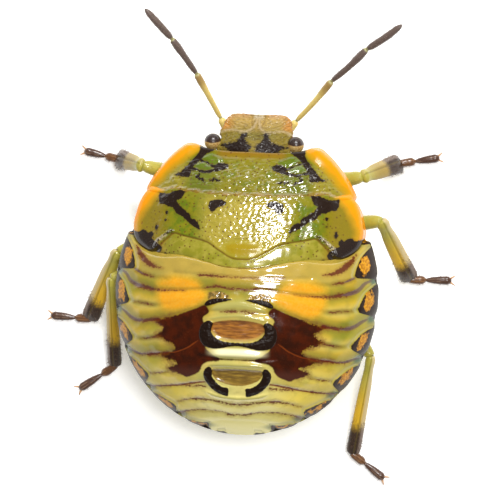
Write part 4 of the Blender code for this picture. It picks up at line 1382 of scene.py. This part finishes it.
paint = Paint("eye_lens", Roughness=0.30, Coat_Weight=0.2, Coat_Roughness=0.15, IOR=1.45)
px, py, pz = paint.sides()
fine = paint.noise(20.0, 3.0)
facets = paint.cells(34.0, randomness=0.15)
seen_front = (py - 4.08) * 3.4 + (pz - 1.95) * 0.9 - abs(px - 1.19) * 0.3 + (fine - 0.5) * 0.16
dark = paint.mix(paint.edge(fine, 0.3, 0.7), (40, 28, 24), (74, 56, 50))
cream = paint.mix(paint.edge(fine, 0.3, 0.7), (188, 140, 68), (236, 204, 132))
dark = paint.mix(paint.edge(seen_front, 0.28, 0.02) * 0.7, dark, (66, 34, 16))
ground = paint.mix(paint.edge(seen_front, -0.06, 0.06), cream, dark)
lens = paint.plug(Base_Color=ground, Normal=paint.bump(facets, 0.000003))
for side, sign in (("left", -1), ("right", 1)):
    eye = Clay()
    eye.add(ball((EYE_SPOT[0] * sign, EYE_SPOT[1], EYE_SPOT[2]), EYE_REACH))
    place("eye_lens_" + side, eye, lens, "eye", "eye_" + side)

# %% [markdown]
# ## Limbs
# Feelers, beak and legs are rings round a path. Width and depth change along it, and a profile
# bends each ring, which gives the flattened, ridged shins. Each ring carries how far along the
# limb it lies and where on its round, which the colours use.

# %% Rings round a path


def even(points, count):
    """Count points, evenly spaced, on a smooth curve through the given ones."""
    dense = smooth(points, parts=24)
    run = np.concatenate([[0], np.cumsum(np.linalg.norm(np.diff(dense, axis=0), axis=1))])
    at = np.linspace(0, run[-1], count)
    return np.stack([np.interp(at, run, dense[:, k]) for k in range(3)], axis=-1)


def sweep(path, wide, deep, up=(0.0, 0.0, 1.0), columns=28, shape=None):
    """Rings round the path; wide and deep are half sizes, shape(angle, t) scales each point's reach."""
    path = np.asarray(path, dtype=float)
    t = np.linspace(0, 1, len(path))[:, None]
    ahead = np.gradient(path, axis=0)
    ahead /= np.linalg.norm(ahead, axis=1, keepdims=True)
    side = np.cross(ahead, np.asarray(up, dtype=float))
    side /= np.linalg.norm(side, axis=1, keepdims=True)
    top = np.cross(side, ahead)
    angle = np.linspace(0, 2 * math.pi, columns, endpoint=False)[None, :]
    reach = shape(angle, t) if shape else np.ones((len(path), columns))
    wide, deep = (np.broadcast_to(np.asarray(v, dtype=float), (len(path),))[:, None] for v in (wide, deep))
    offset = (wide * np.cos(angle) * reach)[..., None] * side[:, None]
    offset = offset + (deep * np.sin(angle) * reach)[..., None] * top[:, None]
    turned = np.sin(angle) * np.ones_like(t)
    across = np.cos(angle) * np.ones_like(t)
    return path[:, None] + offset, {"along": t * np.ones_like(angle), "over": turned, "across": across}


def bristles(clay, rings, normals, number, length, seed, start=0.0, end=1.0, lean=0.6, thick=0.006, **values):
    """Fine tapering hairs on a limb, leaning towards its end."""
    rng = np.random.default_rng(seed)
    rows = rings.shape[0]
    taper = np.array([1.0, 0.6, 0.12]) * thick
    for _ in range(number):
        i = int(rng.uniform(start, end) * (rows - 2)) + 1
        j = rng.integers(rings.shape[1])
        root = rings[i, j]
        ahead = rings[min(i + 1, rows - 1), j] - rings[i - 1, j]
        ahead /= np.linalg.norm(ahead) + 1e-9
        way = normals[i, j] + ahead * lean + rng.normal(0, 0.15, 3)
        way /= np.linalg.norm(way)
        reach = length * rng.uniform(0.6, 1.2)
        end_point = root + way * reach + ahead * reach * 0.15
        path = np.array([root - way * 0.01, root + way * reach * 0.5, end_point])
        guide = (0.0, 0.0, 1.0) if abs(way[2]) < 0.9 else (1.0, 0.0, 0.0)
        if path[:, 2].min() < 0.02:
            continue
        hair, _ = sweep(path, taper, taper, guide, columns=3)
        clay.add(hair, hair=1.0, **values)


# %% [markdown]
# ## The feelers
# A feeler has a short yellow bulb at the side of the head, one long yellow length and two dark
# ones, with a narrow pale joint between each two. Fine pale hairs stand out from the dark part.

# %% Feelers
FEELERS = {
    "right": ((0.84, 4.42, 1.05), (1.10, 4.80, 1.17), (2.10, 5.92, 1.95), (3.10, 6.83, 2.60),
              (4.08, 7.52, 3.10)),
    "left": ((-0.84, 4.42, 1.05), (-1.04, 4.79, 1.17), (-1.69, 5.98, 1.95), (-2.35, 6.90, 2.60),
             (-3.08, 7.68, 3.10)),
}
FEELER_WIDTHS = (  # along one length from joint to joint, for the bulb and the three long lengths
    ((0, 0.075), (0.25, 0.10), (0.6, 0.108), (0.9, 0.09), (1, 0.05)),
    ((0, 0.045), (0.05, 0.06), (0.3, 0.074), (0.6, 0.084), (0.9, 0.10), (0.97, 0.09), (1, 0.06)),
    ((0, 0.05), (0.06, 0.065), (0.5, 0.09), (0.88, 0.10), (0.96, 0.085), (1, 0.05)),
    ((0, 0.05), (0.07, 0.075), (0.4, 0.10), (0.75, 0.095), (0.92, 0.07), (1, 0.025)),
)
paint = Paint("feeler_cuticle", Specular_IOR_Level=0.35, Coat_Weight=0.1, Coat_Roughness=0.2)
fine = paint.noise(18.0, 3.0)
place_on = paint.read("along")
length_no = paint.read("part")
sooty = paint.mix(fine, (88, 70, 62), (134, 114, 104))
honey = paint.mix(fine, (232, 198, 98), (254, 230, 146))
ground = paint.mix(paint.edge(length_no + place_on * 0.9, 1.55, 1.80) * 0.75, honey, (150, 110, 60))
ground = paint.mix(paint.edge(length_no, 1.4, 1.6), ground, sooty)
far_joint = paint.edge(place_on, 0.955, 0.985) * paint.edge(length_no, 2.6, 2.4)
joint = paint.edge(place_on, 0.06, 0.03).most(far_joint)
ground = paint.coat(
    ground,
    (joint * 0.8, (196, 190, 130)),
    (paint.read("hair"), (196, 176, 150)),
)
feeler_finish = paint.plug(Base_Color=ground, Normal=paint.bump(fine, 0.000005), Roughness=0.36 + fine * 0.12)
for side, places in FEELERS.items():
    feeler = Clay()
    for number, (start, end) in enumerate(zip(places, places[1:])):
        start, end = np.array(start), np.array(end)
        bow = np.array([0.02, -0.02, 0.03]) if number else np.zeros(3)
        path = even((start, (start + end) / 2 + bow, end), 40)
        widths = Curve(FEELER_WIDTHS[number])(np.linspace(0, 1, 40))
        rings, marks = sweep(path, widths, widths * 0.95, columns=24)
        feeler.add(rings, part=float(number), hair=0.0, **marks)
        if number:
            normals = rings - path[:, None]
            normals = normals / np.linalg.norm(normals, axis=-1, keepdims=True)
            bristles(feeler, rings, normals, 60 + 50 * number, 0.07, 40 + number, thick=0.004,
                     part=float(number))
    place("feeler_" + side, feeler, feeler_finish, "feeler", "antenna_" + side)

# %% [markdown]
# ## The beak
# The sucking beak lies folded back between the hips. It is a flattened rod in four jointed
# lengths with a dark needle in its groove.

# %% Beak
BEAK = ((0, 4.56, 0.66), (0, 4.2, 0.50), (0, 3.3, 0.46), (0, 2.2, 0.42), (0, 1.2, 0.40))
paint = Paint("beak_cuticle", Roughness=0.35, Coat_Weight=0.3, Coat_Roughness=0.15)
fine = paint.noise(12.0, 3.0)
ground = paint.mix(fine, (160, 150, 62), (196, 180, 96))
under_line = paint.edge(paint.read("over"), -0.80, -0.97)
dark_end = paint.edge(paint.read("part") + paint.read("along"), 3.5, 3.9)
ground = paint.mix(under_line.most(dark_end), ground, (60, 34, 18))
beak_finish = paint.plug(Base_Color=ground, Normal=paint.bump(fine, 0.000006))


def beak_shape(angle, t):
    """A ring with a groove along its underside."""
    return 1 - 0.22 * bell(angle - 1.5 * math.pi, 0.25) + 0 * t


beak = Clay()
for number, (start, end) in enumerate(zip(BEAK, BEAK[1:])):
    path = even((start, (np.array(start) + np.array(end)) / 2, end), 36)
    swell = Curve(((0, 0.7), (0.08, 0.95), (0.5, 0.88), (0.92, 1.0), (1, 0.72)))(np.linspace(0, 1, 36))
    wide = (0.20, 0.16, 0.14, 0.12)[number] * swell
    rings, marks = sweep(path, wide, wide * 0.85, columns=28, shape=beak_shape)
    beak.add(rings, part=float(number), **marks)
place("beak_skin", beak, beak_finish, "leg", "beak")

# %% [markdown]
# ## The legs
# A leg is a round hip, a thigh, a flattened shin and a foot of two lengths with two claws. The
# knees and feet stand where the photograph shows them, each on its own side of the body.

# %% Where the legs stand
COXA = {"front": (0.86, 2.86), "middle": (1.02, 1.70), "hind": (1.12, 0.78)}
COXA_REACH = (0.34, 0.30, 0.27)
GAP = 0.25  # between the belly and the hip in the solids
LEGS = {  # knee, ankle and claw tip; the left hind knee is high, so that its shin passes over the middle one
    ("front", "right"): ((3.06, 3.30, 1.56), (4.00, 3.74), (5.16, 3.96)),
    ("front", "left"): ((-3.14, 3.36, 1.60), (-3.99, 3.53), (-5.05, 3.74)),
    ("middle", "right"): ((3.66, 2.09, 1.82), (4.42, 0.48), (5.65, 0.51)),
    ("middle", "left"): ((-3.74, 0.92, 1.52), (-4.60, -1.03), (-5.80, -0.97)),
    ("hind", "right"): ((3.50, -1.70, 1.30), (3.01, -4.49), (3.98, -5.20)),
    ("hind", "left"): ((-3.90, 0.16, 1.52), (-3.82, -2.32), (-4.89, -3.06)),
}
ANKLE_HEIGHT = 0.25
CLAW_HEIGHT = 0.05
DARK_FROM = {"front": 0.52, "middle": 0.66, "hind": 0.64}  # where along the shin the dark part begins
THIGH_WIDTH = Curve((
    (0, 0.13), (0.10, 0.18), (0.16, 0.15), (0.24, 0.18), (0.55, 0.24), (0.85, 0.20), (0.95, 0.17), (1, 0.12),
))
SHIN_WIDTH = {"front": 0.25, "middle": 0.235, "hind": 0.18}
SHIN_SWELL = Curve((
    (0, 0.62), (0.04, 0.80), (0.10, 0.74), (0.30, 0.86), (0.65, 0.98), (0.88, 1.05), (0.95, 1.02),
    (0.99, 0.80), (1, 0.55),
))
SHIN_DEPTH = Curve(((0, 0.11), (0.05, 0.14), (0.15, 0.12), (0.6, 0.115), (0.93, 0.13), (1, 0.09)))
FOOT_WIDTHS = (  # along each of the two lengths of a foot
    ((0, 0.08), (0.15, 0.10), (0.5, 0.115), (0.85, 0.10), (1, 0.04)),
    ((0, 0.035), (0.12, 0.06), (0.4, 0.10), (0.7, 0.115), (0.92, 0.10), (1, 0.05)),
)


def leg_places(pair, side):
    knee, ankle, claw = LEGS[pair, side]
    sign = 1 if side == "right" else -1
    hip_x, hip_y = COXA[pair]
    hip = np.array([sign * hip_x, hip_y, float(under_height(hip_y)) - GAP - COXA_REACH[2]])
    return hip, np.array(knee), np.array([*ankle, ANKLE_HEIGHT]), np.array([*claw, CLAW_HEIGHT])


print("right middle hip at", leg_places("middle", "right")[0])

# %% [markdown]
# Thigh and shin share one finish. Yellow-green at the body, the shin turns golden and then dark
# brown in its last third, and its outer edge is a thin pale flange that light shines through.

# %% Finishes of leg and foot
paint = Paint("leg_cuticle", Specular_IOR_Level=0.35, Coat_Weight=0.35, Coat_Roughness=0.07, IOR=1.45)
fine = paint.noise(20.0, 4.0)
blotchy = paint.noise(3.0, 3.0)
down = paint.read("along")
shin = paint.read("shin")
outer = paint.read("flange")
ground = paint.mix(blotchy, (182, 174, 62), (208, 194, 90))
ground = paint.mix(shin * paint.edge(down, 0.12, 0.60), ground, (244, 194, 42))
stocky = paint.edge(paint.read("dark_from"), 0.60, 0.54) * paint.edge(paint.read("dark_from"), 0.3, 0.4)
ground = paint.mix(stocky * shin * paint.edge(down, 0.0, 0.4) * 0.85, ground, (160, 134, 52))
tip = shin * paint.edge(down + (fine - 0.5) * 0.10, paint.read("dark_from"), paint.read("dark_from") + 0.14)
ground = paint.coat(
    ground,
    (paint.edge(outer, 0.28, 0.66) * shin * (1 - stocky * 0.6) * 0.85, (224, 202, 150)),
    (tip, paint.mix(fine, (42, 28, 16), (82, 58, 40))),
    (paint.edge(paint.read("furrow"), 0.5, 0.9) * shin * 0.45, (110, 92, 30)),
    (tip * paint.edge(outer, 0.5, 0.8) * 0.7, (150, 128, 112)),
    (paint.read("hair") * 0.5, (150, 110, 80)),
)
leg_finish = paint.plug(Base_Color=ground, Normal=paint.bump(fine + paint.noise(40.0, 2.0) * 0.5, 0.000006),
                        Roughness=0.27 + fine * 0.12)

paint = Paint("foot_cuticle", Roughness=0.28, Specular_IOR_Level=0.35, Coat_Weight=0.3, Coat_Roughness=0.12)
fine = paint.noise(24.0, 3.0)
# The pale streak along the upper side of each foot is a painted highlight.
streak = paint.edge(abs(abs(paint.read("across")) - 0.35), 0.14, 0.04)
streak = streak * paint.edge(paint.read("over"), 0.0, 0.4) * paint.edge(paint.noise(5.0, 2.0), 0.42, 0.58)
ground = paint.mix(fine, (62, 38, 28), (108, 74, 56))
ground = paint.coat(
    ground,
    (streak * 0.55, (180, 150, 122)),
    (paint.edge(paint.read("part"), 0.6, 0.4) * (0.25 + streak * 0.3), (176, 116, 50)),
    (paint.edge(paint.read("part"), 1.4, 1.6), (226, 176, 130)),
    (paint.read("hair") * 0.6, (170, 124, 92)),
)
foot_finish = paint.plug(Base_Color=ground, Normal=paint.bump(fine, 0.000005))
print("finishes of leg and foot ready")

# %% [markdown]
# The shin is broad and thin, with a furrow along its upper face and the pale flange on the side
# away from the body. The flange is part of the same rings: the profile pushes one side out.

# %% Build the legs


def shin_shape(lean):
    """A flattened ring with a furrow on top and a thin keel on the outer side."""
    def shape(angle, t):
        furrow = 0.16 * bell(np.angle(np.exp(1j * (angle - math.pi / 2 + 0.25 * lean))), 0.22)
        keel = 0.10 * bell(np.angle(np.exp(1j * (angle - (0 if lean > 0 else math.pi)))), 0.35)
        return 1 - furrow * step(0.1, 0.3, t) + keel * step(0.05, 0.3, t)
    return shape


def unit(vector):
    return vector / np.linalg.norm(vector)


def sockets_of(rings, path):
    normals = rings - path[:, None]
    return normals / (np.linalg.norm(normals, axis=-1, keepdims=True) + 1e-9)


for pair, side in LEGS:
    hip, knee, ankle, claw = leg_places(pair, side)
    name = f"leg_{pair}_{side}"
    seed = sum(ord(letter) for letter in name)
    plain = {"shin": 0.0, "flange": 0.0, "furrow": 0.0, "dark_from": 2.0}

    thigh = Clay()
    thigh.add(ball(hip + np.array([0, 0, 0.16]), (0.36, 0.31, 0.40), 32, 40), along=0.0, hair=0.0, **plain)
    bent = [hip, hip + (knee - hip) * 0.28 - [0, 0, 0.04], hip + (knee - hip) * 0.62 - [0, 0, 0.06], knee]
    path = even(bent, 70)
    widths = THIGH_WIDTH(np.linspace(0, 1, 70))
    rings, marks = sweep(path, widths, widths * 0.9, columns=32)
    thigh.add(rings, along=marks["along"], hair=0.0, **plain)
    bristles(thigh, rings, sockets_of(rings, path), 40, 0.07, seed, 0.3, 1.0, along=0.5, **plain)
    place(name + "_thigh", thigh, leg_finish, "leg", name + "_femur")

    shin = Clay()
    lean = -1 if side == "right" else 1
    path = even((knee, knee + (ankle - knee) * 0.5 + [0, 0, 0.05], ankle), 90)
    wide = SHIN_WIDTH[pair] * SHIN_SWELL(np.linspace(0, 1, 90))
    deep = SHIN_DEPTH(np.linspace(0, 1, 90))
    rings, marks = sweep(path, wide, deep, columns=48, shape=shin_shape(lean))
    flange = np.clip(marks["across"] * lean, 0, 1)
    furrow = bell(np.arctan2(marks["over"], marks["across"]) - math.pi / 2 + 0.25 * lean, 0.22)
    shin.add(rings, shin=1.0, flange=flange, furrow=furrow, dark_from=DARK_FROM[pair], hair=0.0,
             along=marks["along"])
    normals = sockets_of(rings, path)
    hairy = {"shin": 1.0, "flange": 0.0, "furrow": 0.0, "dark_from": 2.0, "along": 0.5}
    bristles(shin, rings, normals, 60, 0.06, seed + 1, 0.1, 0.7, thick=0.004, **hairy)
    hairy.update(dark_from=0.0, along=1.0)
    bristles(shin, rings, normals, 170, 0.09, seed + 2, 0.62, 1.0, thick=0.005, **hairy)
    place(name + "_shin", shin, leg_finish, "leg", name + "_tibia")

    foot = Clay()
    ahead = unit(np.array([claw[0] - ankle[0], claw[1] - ankle[1], 0.0]))
    beside = np.array([ahead[1], -ahead[0], 0.0])
    length = float(np.linalg.norm((claw - ankle)[:2]))
    knuckle = ankle + ahead * (length * 0.37) + [0, 0, -0.11]
    toe = ankle + ahead * (length - 0.07) + [0, 0, -0.142]
    start = ankle - ahead * 0.03 + [0, 0, 0.02]
    for number, (a, b) in enumerate(((start, knuckle), (knuckle - ahead * 0.04, toe))):
        path = even((a, (a + b) / 2, b), 44)
        wide = Curve(FOOT_WIDTHS[number])(np.linspace(0, 1, 44))
        rings, marks = sweep(path, wide, wide * 0.9, columns=32)
        foot.add(rings, part=float(number), hair=0.0, **marks)
        bristles(foot, rings, sockets_of(rings, path), 70, 0.06, seed + 3 + number, 0.1, 1.0, thick=0.004,
                 part=float(number), over=0.0, across=0.0, along=0.5)
    for way in (-1, 1):
        root = toe + beside * way * 0.05 - ahead * 0.03
        tip = np.array([claw[0], claw[1], 0.03]) + beside * way * 0.15 + ahead * 0.03
        bend = (root + tip) / 2 + beside * way * 0.02 + ahead * 0.04 + [0, 0, 0.03]
        thin = np.linspace(0.035, 0.008, 20)
        rings, marks = sweep(even((root, bend, tip), 20), thin, thin, columns=14)
        foot.add(rings, part=2.0, hair=0.0, **marks)
    place(name + "_foot", foot, foot_finish, "foot", name + "_tarsus")

# %% [markdown]
# ## Floor, light and camera
# The bug stands on a plain pale sheet that glows a little, as if lit from below, which keeps
# the shadows light. The sheet is scenery and no part of the model.

# %% Floor
FLOOR_SIZE = 0.6
bpy.ops.mesh.primitive_grid_add(x_subdivisions=4, y_subdivisions=4, size=FLOOR_SIZE, location=(0, 0, 0))
floor = bpy.context.object
floor.name = "floor"
paint = Paint("floor_sheet", Roughness=0.9, Specular_IOR_Level=0.1, Base_Color=(0.95, 0.95, 0.95, 1.0),
              Emission_Color=(1.0, 0.98, 0.96, 1.0), Emission_Strength=0.35)
floor.data.materials.append(paint.material)
print("the floor is a square of", FLOOR_SIZE, "m")

# %% [markdown]
# Two soft lights stand ahead and overhead, both to the right: the wet skin mirrors them as
# white glints. An even pale sky fills the rest. A brighter one would turn the black marks grey.

# %% Lights
from mathutils import Matrix, Vector


BUG_MIDDLE = np.array([0.0, 0.0, 0.002])


def area_light(name, place, size, power):
    """A square soft light that faces the bug."""
    data = bpy.data.lights.new(name, "AREA")
    data.size = size
    data.energy = power
    lamp = bpy.data.objects.new(name, data)
    bpy.context.scene.collection.objects.link(lamp)
    lamp.location = place
    towards = BUG_MIDDLE - np.array(place)
    lamp.rotation_euler = Vector(towards).to_track_quat("-Z", "Y").to_euler()
    print(name, "light of", power, "watts,", round(float(np.linalg.norm(towards)), 3), "m from the bug")


area_light("key", place=(-0.021, -0.090, 0.10), size=0.034, power=0.165)
area_light("overhead", place=(-0.026, -0.009, 0.12), size=0.028, power=0.075)
world = bpy.data.worlds.new("pale_sky")
bpy.context.scene.world = world
world.use_nodes = True
sky = world.node_tree.nodes["Background"]
sky.inputs["Color"].default_value = (1.0, 1.0, 1.0, 1.0)
sky.inputs["Strength"].default_value = 0.33
bpy.context.scene.view_settings.view_transform = "Standard"

# %% [markdown]
# The photograph looks almost straight down, tilted a few degrees to the bug's right and turned a
# little. A long lens far above gives the flat look of a macro picture.

# %% Camera
YAW = math.radians(2.5)
TILT = math.radians(5.5)
AIM = np.array([0.007, 1.12, 1.9])
AWAY = 150.0  # millimetres from the aim to the camera
FRAME_WIDTH = 13.97  # millimetres across the picture
SENSOR = 36.0


def bug_direction(vector):
    return Vector((-vector[0], -vector[1], vector[2]))


right = np.array([math.cos(TILT), 0.0, -math.sin(TILT)])
forward = np.array([0.0, 1.0, 0.0])
back = np.array([math.sin(TILT), 0.0, math.cos(TILT)])
image_right = math.cos(YAW) * right + math.sin(YAW) * forward
image_up = -math.sin(YAW) * right + math.cos(YAW) * forward
camera_data = bpy.data.cameras.new("camera")
camera_data.sensor_width = SENSOR
camera_data.lens = SENSOR * AWAY / FRAME_WIDTH
camera_data.clip_start = 0.001
camera = bpy.data.objects.new("camera", camera_data)
bpy.context.scene.collection.objects.link(camera)
axes = [bug_direction(axis) for axis in (image_right, image_up, back)]
turn = Matrix(axes).transposed().to_4x4()
camera.matrix_world = Matrix.Translation(Vector(to_metres(AIM + back * AWAY))) @ turn
bpy.context.scene.camera = camera
print("camera at", tuple(round(v, 4) for v in camera.location), "lens", round(camera_data.lens, 1))
